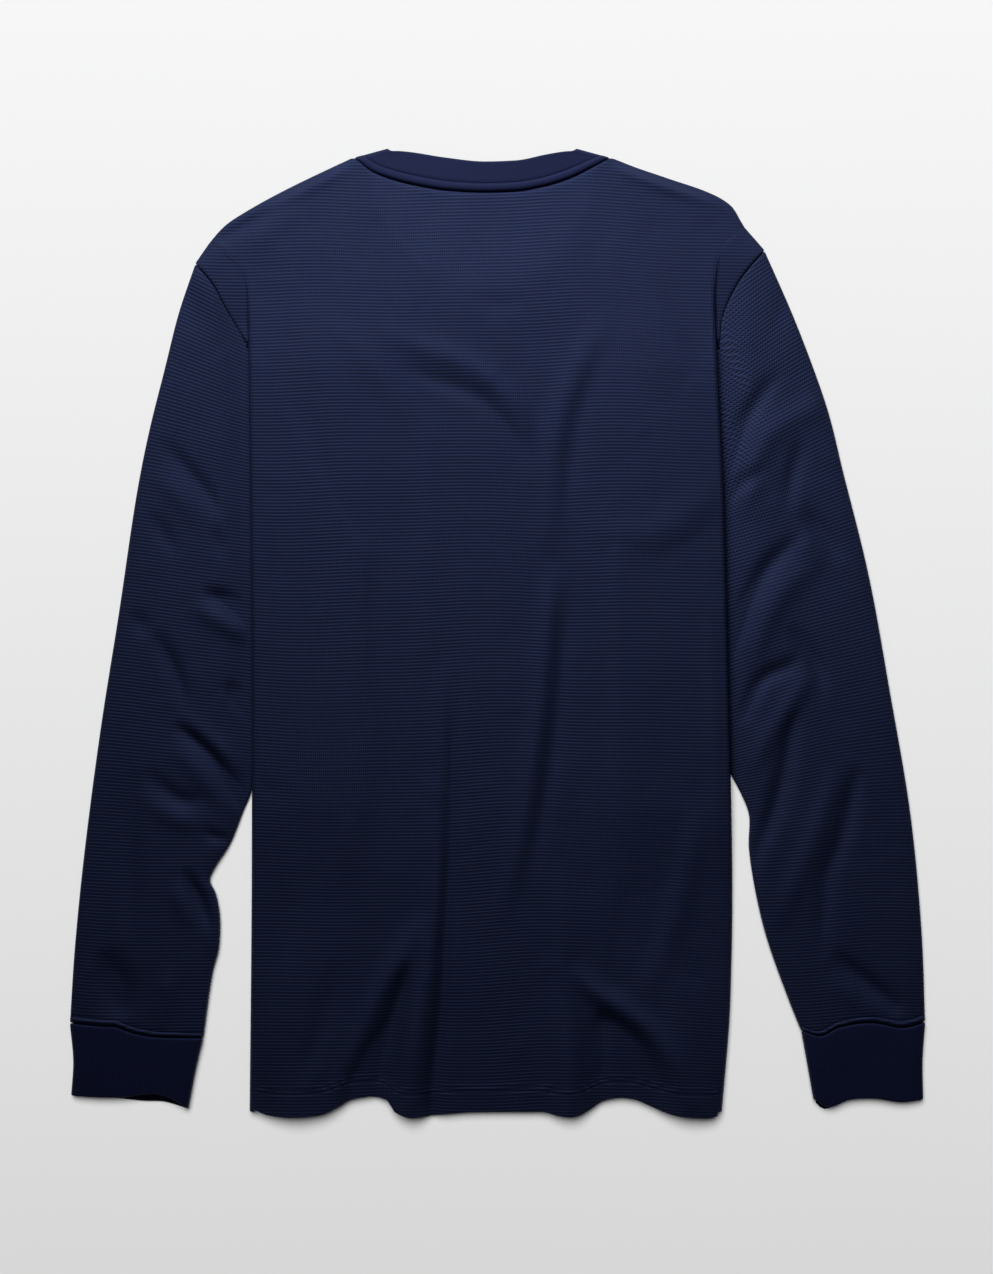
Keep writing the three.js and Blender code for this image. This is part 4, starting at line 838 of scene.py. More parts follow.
def strip_rise(row, x, away):
    """How far the tucked strips' hems lie inside the hem above them where that rises."""
    rise = np.maximum(hem_y(x) - HEM_Y + STRIP_SHORTER, 0)
    return rise * smooth(ROWS_HEM, 1, row.down) * smooth(0, 4 * FOLD, away)


def back_side(side, row):
    """One side of the back in a row, from the top of its fold outwards and under, as points. Above
    the armhole's meeting with the fold it goes over the crease to the armhole seam instead."""
    edge_x, edge_y = edge_of(side, row)
    inward = -side.outward
    roll = float(rounded(row.distance, SHOULDER_ROLL))
    fold_z = float(back_height(np.array([edge_x + inward * FOLD]), np.array([edge_y]))[0])
    high = mix(SHOULDER_EDGE, fold_z, roll)
    tucked = row.y is not None and row.y < SEAM_MEETS_FOLD_Y
    seam = ARMHOLE[side](row.beside)
    to_seam = seam - (edge_x, edge_y)
    reach = math.hypot(*to_seam) - SEAM_GAP
    direction = to_seam / math.hypot(*to_seam)
    beside = seam_height(side, seam, row.beside)
    low = layer(layers_below(edge_y)) if tucked else mix(SHOULDER_EDGE, beside, roll)
    middle = (high + low) / 2
    lean = float(shoulder_lean(side, side.crease_top, FOLD, row))
    turn = np.linspace(0, math.pi / 2, 9)
    inset = 1 - np.sin(turn)
    over = np.stack(
        [
            edge_x + inward * FOLD * inset,
            edge_y + lean * inset,
            mix(middle, high, np.cos(turn)),
        ],
        axis=-1,
    )
    foot = FOLD if tucked else min(2.5, reach * 0.4)
    end = max(float(tuck_width(edge_y)), FOLD + 0.6) if tucked else reach
    turn = np.linspace(0, math.pi / 2, 7)[1:]
    away = np.concatenate([foot * (1 - np.cos(turn)), mix(foot, end, UNDER_STEPS)])
    z = np.concatenate([mix(middle, low, np.sin(turn)), np.full(len(UNDER_STEPS), low)])
    if not tucked:
        z = z - SEAM_DIP * (1 - rounded(end - away, SEAM_DIP_WIDTH)) * roll
    heading = (inward, 0) if tucked else direction
    x, y = edge_x + heading[0] * away, edge_y + heading[1] * away
    if tucked:
        y = y + strip_rise(row, x, away)
    return np.vstack([over, np.stack([x, y, z], axis=-1)])


def back_columns():
    """Columns of the back: over the left shoulder, along the back neck, over the right shoulder."""
    neck_left, neck_right = LEFT.shoulder[-1][0], RIGHT.shoulder[-1][0]
    start, end = LEFT.crease_top[0] + FOLD, RIGHT.crease_top[0] - FOLD
    x = np.concatenate(
        [
            np.linspace(start, neck_left, 34)[:-1],
            np.linspace(neck_left, neck_right, 62),
            np.linspace(neck_right, end, 34)[1:],
        ]
    )
    neck_y = np.minimum(neck_seam_y(x) - EDGE_IN, NECK_TOP_Y - 1)
    shoulder_y = np.where(x < 0, SHOULDER_Y[LEFT](x), SHOULDER_Y[RIGHT](x))
    neck = (x >= neck_left) & (x <= neck_right)
    held = np.where((x > neck_left + 0.1) & (x < neck_right - 0.1), 1, np.where(neck, 0.5, 0))
    columns = x, np.where(neck, neck_y, shoulder_y), (x - start) / (end - start)
    return columns, held, neck


def stitch_line_y(x, distance):
    """A line that distance above the hem's stitches' own base, which waves less than the hem."""
    return HEM_Y + distance + STITCHES_FOLLOW * (hem_y(x) - HEM_Y)


@functools.cache
def back_grid():
    """Middle points of the back panel, and its thickness at each of them."""
    columns, held, neck = back_columns()
    top = [0, 0.12, 0.35, 0.7, 1.1, 1.6, 2.1, 2.6, 3.1, 3.6, 4.1, 4.6, 5.1, 5.7, 6.5, 7.5]
    top += [9, 11, 13, *np.arange(15.8, SEAM_TO_FOLD - 1, 2.9)]
    near_hem = [26, *np.arange(24, 9, -0.6), 8, 6.5, 5, 3.6, 2.4, 1.5, 0.8, 0.4, 0.15, 0]
    heights = [*np.arange(SEAM_MEETS_FOLD_Y, HEM_Y + 28, -3.2), *(HEM_Y + d for d in near_hem)]
    rows = body_rows(top, heights)
    grid = []
    for row in rows:
        left, right = back_side(LEFT, row), back_side(RIGHT, row)
        x, y = body_row(columns, row, left[0], right[0])
        roll = np.maximum(rounded(row.distance, SHOULDER_ROLL), held)
        z = mix(SHOULDER_EDGE, back_height(x, y), roll)
        if row.y is None:
            z = z - np.where(neck, NECK_DIP * (1 - float(rounded(row.distance, NECK_DIP_WIDTH))), 0)
        else:
            above = y - stitch_line_y(x, 0)
            stitched = sum(
                np.exp(-(((above - distance) / STITCH_GROOVE_WIDTH) ** 2))
                for distance in HEM_STITCH_ROWS
            )
            doubled = HEM_DOUBLED * (1 - smooth(*HEM_TURNED, above))
            z = z + doubled - STITCH_GROOVE * stitched
        middle = np.stack([x, y, z], axis=-1)
        grid.append(np.vstack([left[:0:-1], middle, right[1:]]))
    from_top = np.array([row.distance for row in rows])
    from_hem = np.array([math.inf if row.y is None else row.y - HEM_Y for row in rows])
    return with_thickness(grid, thinned(WAFFLE_EDGE, np.minimum(from_top, from_hem)))


def grain(grid, centre):
    """Where each point lies on the flat cloth: across it from a column, and along it."""
    steps = np.hypot(np.diff(grid[..., 0], axis=1), np.diff(grid[..., 2], axis=1))
    across = np.concatenate([np.zeros((len(grid), 1)), np.cumsum(steps, axis=1)], axis=1)
    x, y = grid[..., 0], grid[..., 1]
    across = across - across[:, centre : centre + 1] + x[:, centre : centre + 1]
    return np.stack([across + waver(y, x, 3), y + waver(x, y, 7)], axis=-1)


def waver(a, b, seed):
    """A slow drift of the knit's rows and columns, by a millimetre or two."""
    rng = np.random.default_rng(seed)
    p, q, r = rng.uniform(0, 2 * math.pi, 3)
    slow = 1.6 * np.sin(a / 61 + p) + 1.1 * np.sin(a / 33 + b / 90 + q)
    return slow + 0.5 * np.sin(a / 17 + b / 140 + r)


def front_columns():
    """Columns of the front: their places at its shoulders and neckline, and shares across below."""
    start, end = LEFT.tip[0] + FLAT_EDGE, RIGHT.tip[0] - FLAT_EDGE
    body_left, body_right = BODY_LEFT_X + FLAT_EDGE, BODY_RIGHT_X - FLAT_EDGE

    def half(side, half_width, inside):
        x = NECK_CENTRE + side.outward * half_width
        body_x = BODY_LEFT_X + inside if side is LEFT else BODY_RIGHT_X - inside
        past_neck = half_width > FRONT_NECK[0][0]
        y = SHOULDER_Y[side](x) if past_neck else front_neck_y(half_width)
        return x, float(y) - EDGE_IN, (body_x - body_left) / (body_right - body_left)

    coarse = [
        (start, float(SHOULDER_Y[LEFT](start)) - FRONT_SHOULDER_IN, 0),
        *(half(LEFT, *row) for row in FRONT_COLUMNS),
        (NECK_CENTRE, float(front_neck_y(0)) - EDGE_IN, 0.5),
        *(half(RIGHT, *row) for row in FRONT_COLUMNS[::-1]),
        (end, float(SHOULDER_Y[RIGHT](end)) - FRONT_SHOULDER_IN, 1),
    ]
    at = np.arange(len(coarse))
    fine = np.linspace(0, len(coarse) - 1, 3 * (len(coarse) - 1) + 1)
    return tuple(np.interp(fine, at, column) for column in np.array(coarse).T)


def front_side(side, row):
    """One side of the front in a row: flat along the armhole seam, then inside the back's tucked
    strip, then folded under itself inside the back's fold."""
    inward = -side.outward
    edge_x, edge_y = edge_of(side, row)
    if row.y is None or row.y >= FRONT_FOLDS_Y:
        outer_x, outer_y = front_edge(side, row, edge_x)
        lean = float(shoulder_lean(side, side.tip, FLAT_EDGE, row)) - FRONT_SHOULDER_IN
        t = np.linspace(0, 1, 10)
        x = outer_x + inward * FLAT_EDGE * (1 - t)
        y = np.full(x.shape, row.y) if row.y is not None else outer_y + lean * (1 - t)
        return np.stack([x, y, front_height(x, y)], axis=-1)
    below = float(layers_below(edge_y))
    low, high = layer(below + 1), layer(below + 2)
    turn = np.linspace(0, math.pi, 7)
    start = INSIDE_FOLD + INNER_FOLD
    end = start + 1 if row.y > FRONT_STRIP_Y else float(tuck_width(edge_y))
    away = np.concatenate(
        [INSIDE_FOLD + INNER_FOLD * (1 - np.sin(turn)), mix(start, end, np.linspace(0, 1, 4)[1:])]
    )
    z = np.concatenate([mix(low, high, (1 + np.cos(turn)) / 2), np.full(3, low)])
    x = edge_x + inward * away
    return np.stack([x, edge_y + strip_rise(row, x, away), z], axis=-1)


def front_edge(side, row, edge_x):
    """Place of the front's unfolded edge."""
    inward = -side.outward
    if row.y is None:
        seam = ARMHOLE[side](row.beside)
        return seam[0] + inward * SEAM_GAP, seam[1]
    clear = row.y < FRONT_CLEARS_STRIP_Y
    return edge_x + inward * (INSIDE_FOLD if clear else float(tuck_width(row.y)) + 1), row.y


def front_grid():
    """Middle points of the front panel."""
    columns = front_columns()
    heights = [226, 215, 205, 194, 183, 171, 160, 150, 140, 130, 120, 108, 97, 86, 75, 65, 55]
    heights += [*np.arange(40, HEM_Y + 30, -14), -344, -350, -355, -359, -362, -364, -364.7, -365]
    rows = body_rows([0, 6, 13, 24, 36, 48, 60, 71], heights)
    grid = []
    for row in rows:
        left, right = front_side(LEFT, row), front_side(RIGHT, row)
        x, y = body_row(columns, row, left[0], right[0])
        middle = np.stack([x, y, front_height(x, y)], axis=-1)
        middle[0], middle[-1] = left[0], right[0]
        grid.append(np.vstack([left[:0:-1], middle, right[1:]]))
    return np.array(grid)


# Sleeves, cuffs and neckband


def armhole_seam(side):
    """The seam in plan from the shoulder tip to the underarm, under the body for most of it."""
    hidden = [
        (float(EDGE_X[side](y)) - side.outward * (width + WALL / 2), y)
        for y, width, *_ in TUCKS
        if width > 0 and y >= TUCK_FULL_Y
    ]
    return path_through([*side.armhole, *hidden])


TUBE_STEPS = (22, 10, 56)  # steps along the lower layer, round an edge and over the upper layer


def flat_tube(outer_rows, inner_rows, start, end, fade):
    """Plan of a tube laid flat: places across it, from its outer edge to its inner one, and along
    it. Its ends follow their own lines, which fade out along the tube."""
    outer, inner = path_through(outer_rows), path_through(inner_rows)

    def straight(across, along):
        return mix(outer(along), inner(along), np.atleast_1d(across)[:, None])

    def plan(across, along):
        across = np.atleast_1d(across)
        early = (1 - smooth(0, fade, along)) * (1 - along)
        late = smooth(1 - fade, 1, along) * along
        at_start = start(across) - straight(across, 0)
        at_end = end(across) - straight(across, 1)
        return straight(across, along) + early * at_start + late * at_end

    return plan


def tube_ring(plan, along, low, wall, high_at):
    """One ring around a flat tube, as points in the middle of the cloth: along the surface, round
    the inner edge, back over the top and round the outer edge."""
    ends = plan([0, 1], along)
    width = math.dist(*ends)
    low_steps, edge_steps, high_steps = TUBE_STEPS

    def height(inset):
        places = plan(np.clip(inset / width, -0.2, 1.2), along)
        return high_at(places, np.minimum(inset, width - inset))

    def half_edge(across, inset):
        high = float(height(np.array([inset]))[0])
        after = plan([across], min(along + 0.004, 1))[0]
        before = plan([across], max(along - 0.004, 0))[0]
        line = (after - before) / math.dist(after, before)
        section = (ends[1] - ends[0]) / width
        slant = max(abs(section[0] * line[1] - section[1] * line[0]), SLANT_MOST)
        return min((high - low) / 2, EDGE_ROUND) / slant

    outer_half = half_edge(0, wall / 2)
    inner_half = half_edge(1, width - wall / 2)
    start, stop = wall / 2 + outer_half, width - wall / 2 - inner_half
    turn = np.linspace(0, 1, edge_steps + 1)[1:-1]
    inner_high, outer_high = (float(height(np.array([at]))[0]) for at in (stop, start))
    over = np.linspace(stop, start, high_steps + 1)
    inset = np.concatenate(
        [
            np.linspace(start, stop, low_steps + 1),
            stop + inner_half * np.cos((turn - 0.5) * math.pi),
            over,
            start - outer_half * np.cos((0.5 - turn) * math.pi),
        ]
    )
    z = np.concatenate(
        [
            np.full(low_steps + 1, low),
            mix(low, inner_high, (1 + np.sin((turn - 0.5) * math.pi)) / 2),
            height(over),
            mix(low, outer_high, (1 + np.sin((0.5 - turn) * math.pi)) / 2),
        ]
    )
    return np.column_stack([plan(inset / width, along), z])


def from_inner_edge(ring):
    """Starts a ring at the middle of its inner edge, where a sleeve's own seam runs."""
    low_steps, edge_steps, _ = TUBE_STEPS
    return np.roll(ring, -(low_steps + edge_steps // 2), axis=0)


OUTER_EDGE = TUBE_STEPS[2] + TUBE_STEPS[1]  # index of the outer edge's middle in such a ring


def sleeve_rows(side):
    """Measures the cloth along a sleeve, across its knit rows. They turn slowly down the sleeve."""
    angle = smooth_column(ROW_ANGLES[side])
    lowest, highest = ROW_ANGLES[side][-1][0], ROW_ANGLES[side][0][0]
    levels = np.arange(lowest - 80, highest + 80)
    lengths = np.cumsum(np.cos(np.radians(angle(np.clip(levels, lowest, highest)))))

    def measure(x, y):
        level = y
        for _ in range(5):
            middle = side.outward * (SLEEVE_MIDDLE_X + SLEEVE_SPLAY * (SLEEVE_MIDDLE_Y - level))
            lean = np.tan(np.radians(angle(np.clip(level, lowest, highest))))
            level = y + (x - middle) * lean
        return -np.interp(level, levels, lengths)

    return measure


def tube_grain(grid, axis, rows=None):
    """Where each point lies on the flat cloth of a tube: round it from its outer edge, and along
    its axis. The first column is repeated at the end, so that the cloth isn't squeezed there."""
    axis = np.array(axis) / math.hypot(*axis)
    side = np.array([-axis[1], axis[0]])
    closed = np.concatenate([grid, grid[:, :1]], axis=1)
    sideways = closed[..., :2] @ side
    steps = np.hypot(np.diff(sideways, axis=1), np.diff(closed[..., 2], axis=1))
    round_it = np.concatenate([np.zeros((len(grid), 1)), np.cumsum(steps, axis=1)], axis=1)
    edge = slice(OUTER_EDGE, OUTER_EDGE + 1)
    round_it = sideways[:, edge] + round_it[:, edge] - round_it
    along = rows(closed[..., 0], closed[..., 1]) if rows else closed[..., :2] @ axis
    sideways_drift, drift_along = waver(along, round_it, 13), waver(round_it, along, 19)
    return np.stack([round_it + sideways_drift, along + drift_along], axis=-1)


def sleeve_grid(sleeve):
    """Middle points of a sleeve, and its thickness at each of them."""
    side = sleeve.side
    wrist = path_through(sleeve.wrist)
    plan = flat_tube(sleeve.outer, sleeve.inner, armhole_seam(side), wrist, SLEEVE_FADE)

    def high_at(places, inset):
        x, y = places.T
        free = sleeve_height(side, x, y) - layer(1)
        lift = free * mix(EDGE_LOFT, 1, rounded(inset, SLEEVE_ROUND))
        shown = smooth(0, SLEEVE_EMERGES / 2, (x - fold_line_x(side, y)) * side.outward)
        calm = mix(SLEEVE_FOLDS_AT_EDGE, 1, smooth(0, SLEEVE_CALM_WIDTH, inset))
        folds = sleeve_folds[side](x, y) + lie_of_cloth(x, y, 29)
        return layer(1) + soft_ramp(lift + shown * calm * folds, SLEEVE_SOFTNESS)

    first, last = SLEEVE_SPAN
    near_armhole = np.array([0, 0.3, 0.7, 1.2, 1.8, 2.6, 4])
    near_wrist = np.array(
        [9, 7.5, 6, 5.4, 4.9, 4.4, 3.9, 3.4, 2.9, 2.4, 1.9, 1.5, 1.1, 0.7, 0.35, 0]
    )
    between = np.linspace(first + 7 / SLEEVE_LENGTH, last - 12 / SLEEVE_LENGTH, 196)
    sections = np.concatenate(
        [first + near_armhole / SLEEVE_LENGTH, between, last - near_wrist / SLEEVE_LENGTH]
    )
    start, end, high, rise, groove, groove_width = CUFF_RIDGE
    rings, thickness = [], []
    for along in sections:
        ring = from_inner_edge(tube_ring(plan, along, ON_SURFACE, WALL, high_at))
        from_wrist = (last - along) * SLEEVE_LENGTH
        from_armhole = (along - first) * SLEEVE_LENGTH
        inside = float(smooth(start, start + rise, from_wrist))
        outside = float(smooth(end - rise, end, from_wrist))
        beyond = math.exp(-(((from_wrist - end - GROOVE_PAST_RIDGE) / groove_width) ** 2))
        ridge = high * inside * (1 - outside) - groove * beyond
        at_wrist, at_armhole = rounded(from_wrist, 1.6), rounded(from_armhole, SEAM_DIP_WIDTH)
        dip = SEAM_DIP * (2 - float(at_wrist) - float(at_armhole))
        upper = smooth(1.6, 2.6, ring[:, 2])
        ring[:, 2] += (ridge - dip) * upper
        rings.append(ring)
        thickness.append(thinned(WAFFLE_EDGE, min(from_wrist, from_armhole)))
    return with_thickness(rings, thickness)


def cuff_grid(sleeve):
    """Middle points of a cuff, and its thickness at each of them."""
    seam, upper_end, lower_end = (
        path_through(rows) for rows in (sleeve.wrist, sleeve.cuff_upper, sleeve.cuff_lower)
    )
    outer = [sleeve.wrist[0], sleeve.cuff_waist[0], sleeve.cuff_upper[0]]
    inner = [sleeve.wrist[-1], sleeve.cuff_waist[1], sleeve.cuff_upper[-1]]
    upper_plan, lower_plan = (
        flat_tube(outer, inner, seam, end, CUFF_FADE) for end in (upper_end, lower_end)
    )
    low = RIB / 2

    def high_at(places, inset):
        loft = CUFF_LOFT * mix(EDGE_LOFT, 1, rounded(inset, CUFF_ROUND))
        uneven = lie_of_cloth(*places.T, 41) * smooth(0, 10, inset)
        return low + RIB + AIR + loft + uneven

    ends = np.array([0, 0.25, 0.6, 1.1, 1.8, 3]) / CUFF_LENGTH
    sections = np.concatenate([CUFF_START + ends, np.linspace(0.1, 0.9, 20), 1 - ends[::-1]])
    rings, thickness = [], []
    low_steps = TUBE_STEPS[0]
    for along in sections:
        upper = tube_ring(upper_plan, along, low, RIB, high_at)
        lower = tube_ring(lower_plan, along, low, RIB, high_at)
        ring = from_inner_edge(np.vstack([lower[: low_steps + 1], upper[low_steps + 1 :]]))
        from_seam, from_end = (along - CUFF_START) * CUFF_LENGTH, (1 - along) * CUFF_LENGTH
        dip = SEAM_DIP * (1 - float(rounded(from_seam, 1.8)))
        ring[:, 2] -= dip * smooth(2.2, 3.2, ring[:, 2])
        rings.append(ring)
        thickness.append(thinned(RIB_EDGE, min(from_seam, from_end)))
    return with_thickness(rings, thickness)


def band_grid():
    """Middle points of the neckband: over the back neck, over a slanting fold at each side, and
    along the front neckline on the surface."""
    middle = (BAND_BACK_Z + BAND_FRONT_Z) / 2
    radius = (BAND_BACK_Z - BAND_FRONT_Z) / 2
    near_seam = [0, 0.2, 0.5, 0.9, 1.4, 2, 2.7, 3.4, 4, 4.4, 4.8, 5.2, 5.6, 6.1, 6.8, 8, 10]
    near_edge = [12, 14, 16, 17.3, 18.2, 18.9, 19.4, 19.75, BAND_WIDTH]
    across = np.array([*near_seam, *near_edge]) / BAND_WIDTH

    def strip(seam, edge):
        return mix(np.array(seam), np.array(edge), across[:, None])

    left_seam, left_edge = NECK_SEAM[0], BAND_EDGE[0]
    right_seam, right_edge = NECK_SEAM[-1], BAND_EDGE[-1]
    over = []
    for t in np.linspace(0, 1, 61):
        seam_x = mix(left_seam[0] + 2, right_seam[0] - 2, t)
        edge_x = mix(left_edge[0] + 1, right_edge[0] - 1, t)
        turned = radius * abs(2 * t - 1) ** 8
        seam_y = float(neck_seam_y(seam_x)) + 0.6 - turned * 0.7
        edge_y = float(band_edge_y(edge_x)) - RIB / 2 - turned
        over.append(strip((seam_x, seam_y, BAND_BACK_Z), (edge_x, edge_y, BAND_BACK_Z - 0.4)))

    def turns(seam, edge):
        fold = np.subtract(edge, seam) / math.dist(edge, seam)
        out = np.array([-fold[1], fold[0]]) * np.sign(fold[0])
        for degrees in (60, 40, 20, 0, -20, -40, -60):
            angle = math.radians(degrees)
            shift = out * (radius * (math.cos(angle) - 1) - RIB / 2)
            z = middle + radius * math.sin(angle)
            rounding = (RIB / 2 + radius) * (math.cos(angle) if angle < 0 else 1)
            yield strip((*(seam + shift), z), (*(edge + shift - fold * rounding), z))

    def in_front(from_centre, y):
        return NECK_CENTRE + from_centre, y, BAND_FRONT_Z

    half = spline(FRONT_BAND, 5)
    under = {
        sign: [
            strip(
                in_front(sign * (seam_half - 2), float(front_neck_y(seam_half)) + 1),
                in_front(sign * edge_half, edge_y),
            )
            for seam_half, edge_half, edge_y in half
        ]
        for sign in (1, -1)
    }
    neck_bottom = float(front_neck_y(0))
    front_middle = strip(in_front(0, neck_bottom + 1), in_front(0, neck_bottom + BAND_WIDTH))
    sections = [
        *over,
        *turns(right_seam, right_edge),
        *under[1],
        front_middle,
        *under[-1][::-1],
        *list(turns(left_seam, left_edge))[::-1],
    ]
    grid = np.array(sections).transpose(1, 0, 2)
    back = smooth(BAND_FRONT_Z + 1, BAND_BACK_Z - 0.4, grid[..., 2])
    from_seam = across[:, None] * BAND_WIDTH
    start, end, high, rise, groove, groove_width = NECK_RIDGE
    ridge = high * rounded(from_seam - start, rise) * rounded(end - from_seam, rise)
    beyond = np.exp(-(((from_seam - end - GROOVE_PAST_RIDGE) / groove_width) ** 2))
    dip = SEAM_DIP * (1 - rounded(from_seam, 1.2))
    grid[..., 2] += back * (ridge - groove * beyond - dip)
    from_edge = np.minimum(across, 1 - across) * BAND_WIDTH
    return *with_thickness(grid, thinned(RIB_EDGE, from_edge)), across


# Meshes


def corner_quads(index):
    """The quads between the points of a grid of indices."""
    a, b, c, d = index[:-1, :-1], index[:-1, 1:], index[1:, 1:], index[1:, :-1]
    return np.stack([a, b, c, d], axis=-1).reshape(-1, 4)


def wall_quads(index, count, closed):
    """Quads of a wall whose second skin's indices are the first's plus count."""
    top = corner_quads(index)
    under = top[:, ::-1] + count
    edges = [(index[0], 1), (index[-1], -1)]
    if not closed:
        edges += [(index[:, 0], -1), (index[:, -1], 1)]
    rims = [
        np.stack([line[:-1], line[:-1] + count, line[1:] + count, line[1:]], -1)[:, ::turn]
        for line, turn in edges
    ]
    return np.vstack([top, under, *rims])


def cloth_wall(name, grid, uv, thickness, ring=False):
    """A closed wall around a grid of middle points, which keeps the cloth's own coordinates."""
    height, width = grid.shape[:2]
    if ring:
        across = np.roll(grid, -1, axis=1) - np.roll(grid, 1, axis=1)
    else:
        across = np.gradient(grid, axis=1)
    normal = np.cross(across, np.gradient(grid, axis=0))
    normal /= np.linalg.norm(normal, axis=-1, keepdims=True)
    half = normal * np.broadcast_to(thickness, (height, width))[..., None] / 2
    points = np.concatenate([(grid + half).reshape(-1, 3), (grid - half).reshape(-1, 3)])
    index = np.arange(height * width).reshape(height, width)
    if ring:
        index = np.hstack([index, index[:, :1]])
    uv_index = np.arange(uv.shape[0] * uv.shape[1]).reshape(uv.shape[:2])
    quads = wall_quads(index, height * width, ring)
    uv_quads = wall_quads(uv_index, uv_index.size, ring)
    a, b, c, d = (points[quads[:, i]] for i in range(4))
    volume = np.sum(a * (np.cross(b, c) + np.cross(c, d)))
    if volume < 0:
        quads, uv_quads = quads[:, ::-1], uv_quads[:, ::-1]
    mesh = bpy.data.meshes.new(name)
    mesh.from_pydata((points * 0.001).tolist(), [], quads.tolist())
    layer_uv = mesh.uv_layers.new(name="grain")
    both = np.concatenate([uv.reshape(-1, 2)] * 2) * 0.001
    layer_uv.uv.foreach_set("vector", both[uv_quads.ravel()].ravel())
    mesh.polygons.foreach_set("use_smooth", np.ones(len(quads), bool))
    mesh.update()
    return show(name, mesh)


def seam_allowance(name, centres, material, slot, wide=ALLOWANCE):
    """A thin strip of cloth along a seam, under it, that far to either side. It starts narrow."""
    centres = np.array(centres)
    along = np.gradient(centres, axis=0)
    side = np.cross(along, (0, 0, 1))
    side /= np.linalg.norm(side, axis=-1, keepdims=True)
    wide = np.minimum(wide, 1 + 1.1 * np.arange(len(centres)))
    across = np.array([-1, -0.4, 0.4, 1]) * wide[:, None]
    grid = centres[:, None] + side[:, None] * across[..., None]
    return finish_piece(cloth_wall(name, grid, grid[..., :2], ALLOWANCE_WALL), material, slot)


def show(name, mesh):
    """Puts a mesh in the scene as a piece that rides on the frame's one body."""
    obj = bpy.data.objects.new(name, mesh)
    bpy.context.scene.collection.objects.link(obj)
    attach(obj, "root")
    return obj


def flat_area(grid, ring=False):
    """Area of the cloth in a grid of middle points, in square metres."""
    if ring:
        grid = np.concatenate([grid, grid[:, :1]], axis=1)
    a, b, c, d = grid[:-1, :-1], grid[:-1, 1:], grid[1:, 1:], grid[1:, :-1]
    crossed = np.cross(c - a, d - b)
    return float(np.linalg.norm(crossed, axis=-1).sum() / 2) * 1e-6


def stitch_row(path, length, gap, width):
    """Stitches along a path of surface points, as slim six-sided threads with pinched ends."""
    path = np.asarray(path, float)
    lengths = np.concatenate([[0], np.cumsum(np.linalg.norm(np.diff(path, axis=0), axis=1))])
    starts = np.arange(1.5, lengths[-1] - length - 1, length + gap)
    turns = np.linspace(0, 2 * math.pi, 7)[:-1]
    points, faces = [], []
    for start in starts:
        first = len(points)
        for share, swell in ((0, 0.35), (0.18, 0.9), (0.5, 1), (0.82, 0.9), (1, 0.35)):
            at = start + share * length
            centre, ahead = (
                np.array([np.interp(place, lengths, column) for column in path.T])
                for place in (at, at + 0.2)
            )
            along = (ahead - centre) / np.linalg.norm(ahead - centre)
            side = np.cross(along, (0, 0, 1))
            up = np.cross(side, along)
            sunk = centre - up * 0.22 * (1 - swell)
            for turn in turns:
                ring = side * math.cos(turn) + up * math.sin(turn)
                points.append(sunk + ring * (width / 2) * swell)
        for level in range(4):
            for k in range(6):
                a, b = first + level * 6 + k, first + level * 6 + (k + 1) % 6
                faces.append((a, b, b + 6, a + 6))
        faces.append(tuple(first + k for k in range(5, -1, -1)))
        faces.append(tuple(first + 24 + k for k in range(6)))
    return points, faces


def surface_above(grid, thickness):
    """Points on the upper face of a wall."""
    normal = np.cross(np.gradient(grid, axis=1), np.gradient(grid, axis=0))
    normal /= np.linalg.norm(normal, axis=-1, keepdims=True)
    normal *= np.sign(normal[..., 2:3])
    return grid + normal * (thickness[..., None] / 2)


def thread_object(name, rows):
    """Joins rows of stitches into one piece."""
    points, faces = [], []
    for row_points, row_faces in rows:
        first = len(points)
        points += [tuple(np.array(p) * 0.001) for p in row_points]
        faces += [tuple(i + first for i in face) for face in row_faces]
    mesh = bpy.data.meshes.new(name)
    mesh.from_pydata(points, [], faces)
    mesh.polygons.foreach_set("use_smooth", np.ones(len(faces), bool))
    mesh.update()
    return show(name, mesh)


# Colours and materials


def linear(hex_colour):
    """The linear value of an sRGB hex colour."""
    channels = (int(hex_colour[i : i + 2], 16) / 255 for i in (1, 3, 5))
    return tuple(c / 12.92 if c <= 0.04045 else ((c + 0.055) / 1.055) ** 2.4 for c in channels)


def add_node(tree, kind, inputs=None, **settings):
    """Adds a node with its settings, and fills its inputs with values or links."""
    node = tree.nodes.new(kind)
    for name, value in settings.items():
        setattr(node, name, value)
    for socket, value in (inputs or {}).items():
        if isinstance(value, bpy.types.NodeSocket):
            tree.links.new(value, node.inputs[socket])
        else:
            node.inputs[socket].default_value = value
    return node


def cotton(name, roughness, gloss, tint):
    """A material of dyed cotton, with its tree and its shader. Its fibres throw light from far away
    forward in a soft bluish gloss, which is strongest towards the window."""
    material = bpy.data.materials.new(name)
    material.use_nodes = True
    tree = material.node_tree
    shader = tree.nodes["Principled BSDF"]
    shader.inputs["Roughness"].default_value = roughness
    shader.inputs["IOR"].default_value = 1.5
    shader.inputs["Specular IOR Level"].default_value = gloss
    shader.inputs["Specular Tint"].default_value = (*linear(tint), 1)
    return material, tree, shader


ROW_HEIGHT, COLUMN_HEIGHT = 0.8, 0.95  # of the waffle's walls, in shares of its depth
WAFFLE_YARN = 0.22  # height of the yarn's own fuzz on them
HALF_MOON_MIDDLE, HALF_MOON_REACH = (-0.012, 0.372), (0.088, 0.104)  # in metres on the flat back
# how much lighter the half-moon is painted: painted light from the pale surface under the cloth
HALF_MOON_PAINTED_LIGHT = 0.16


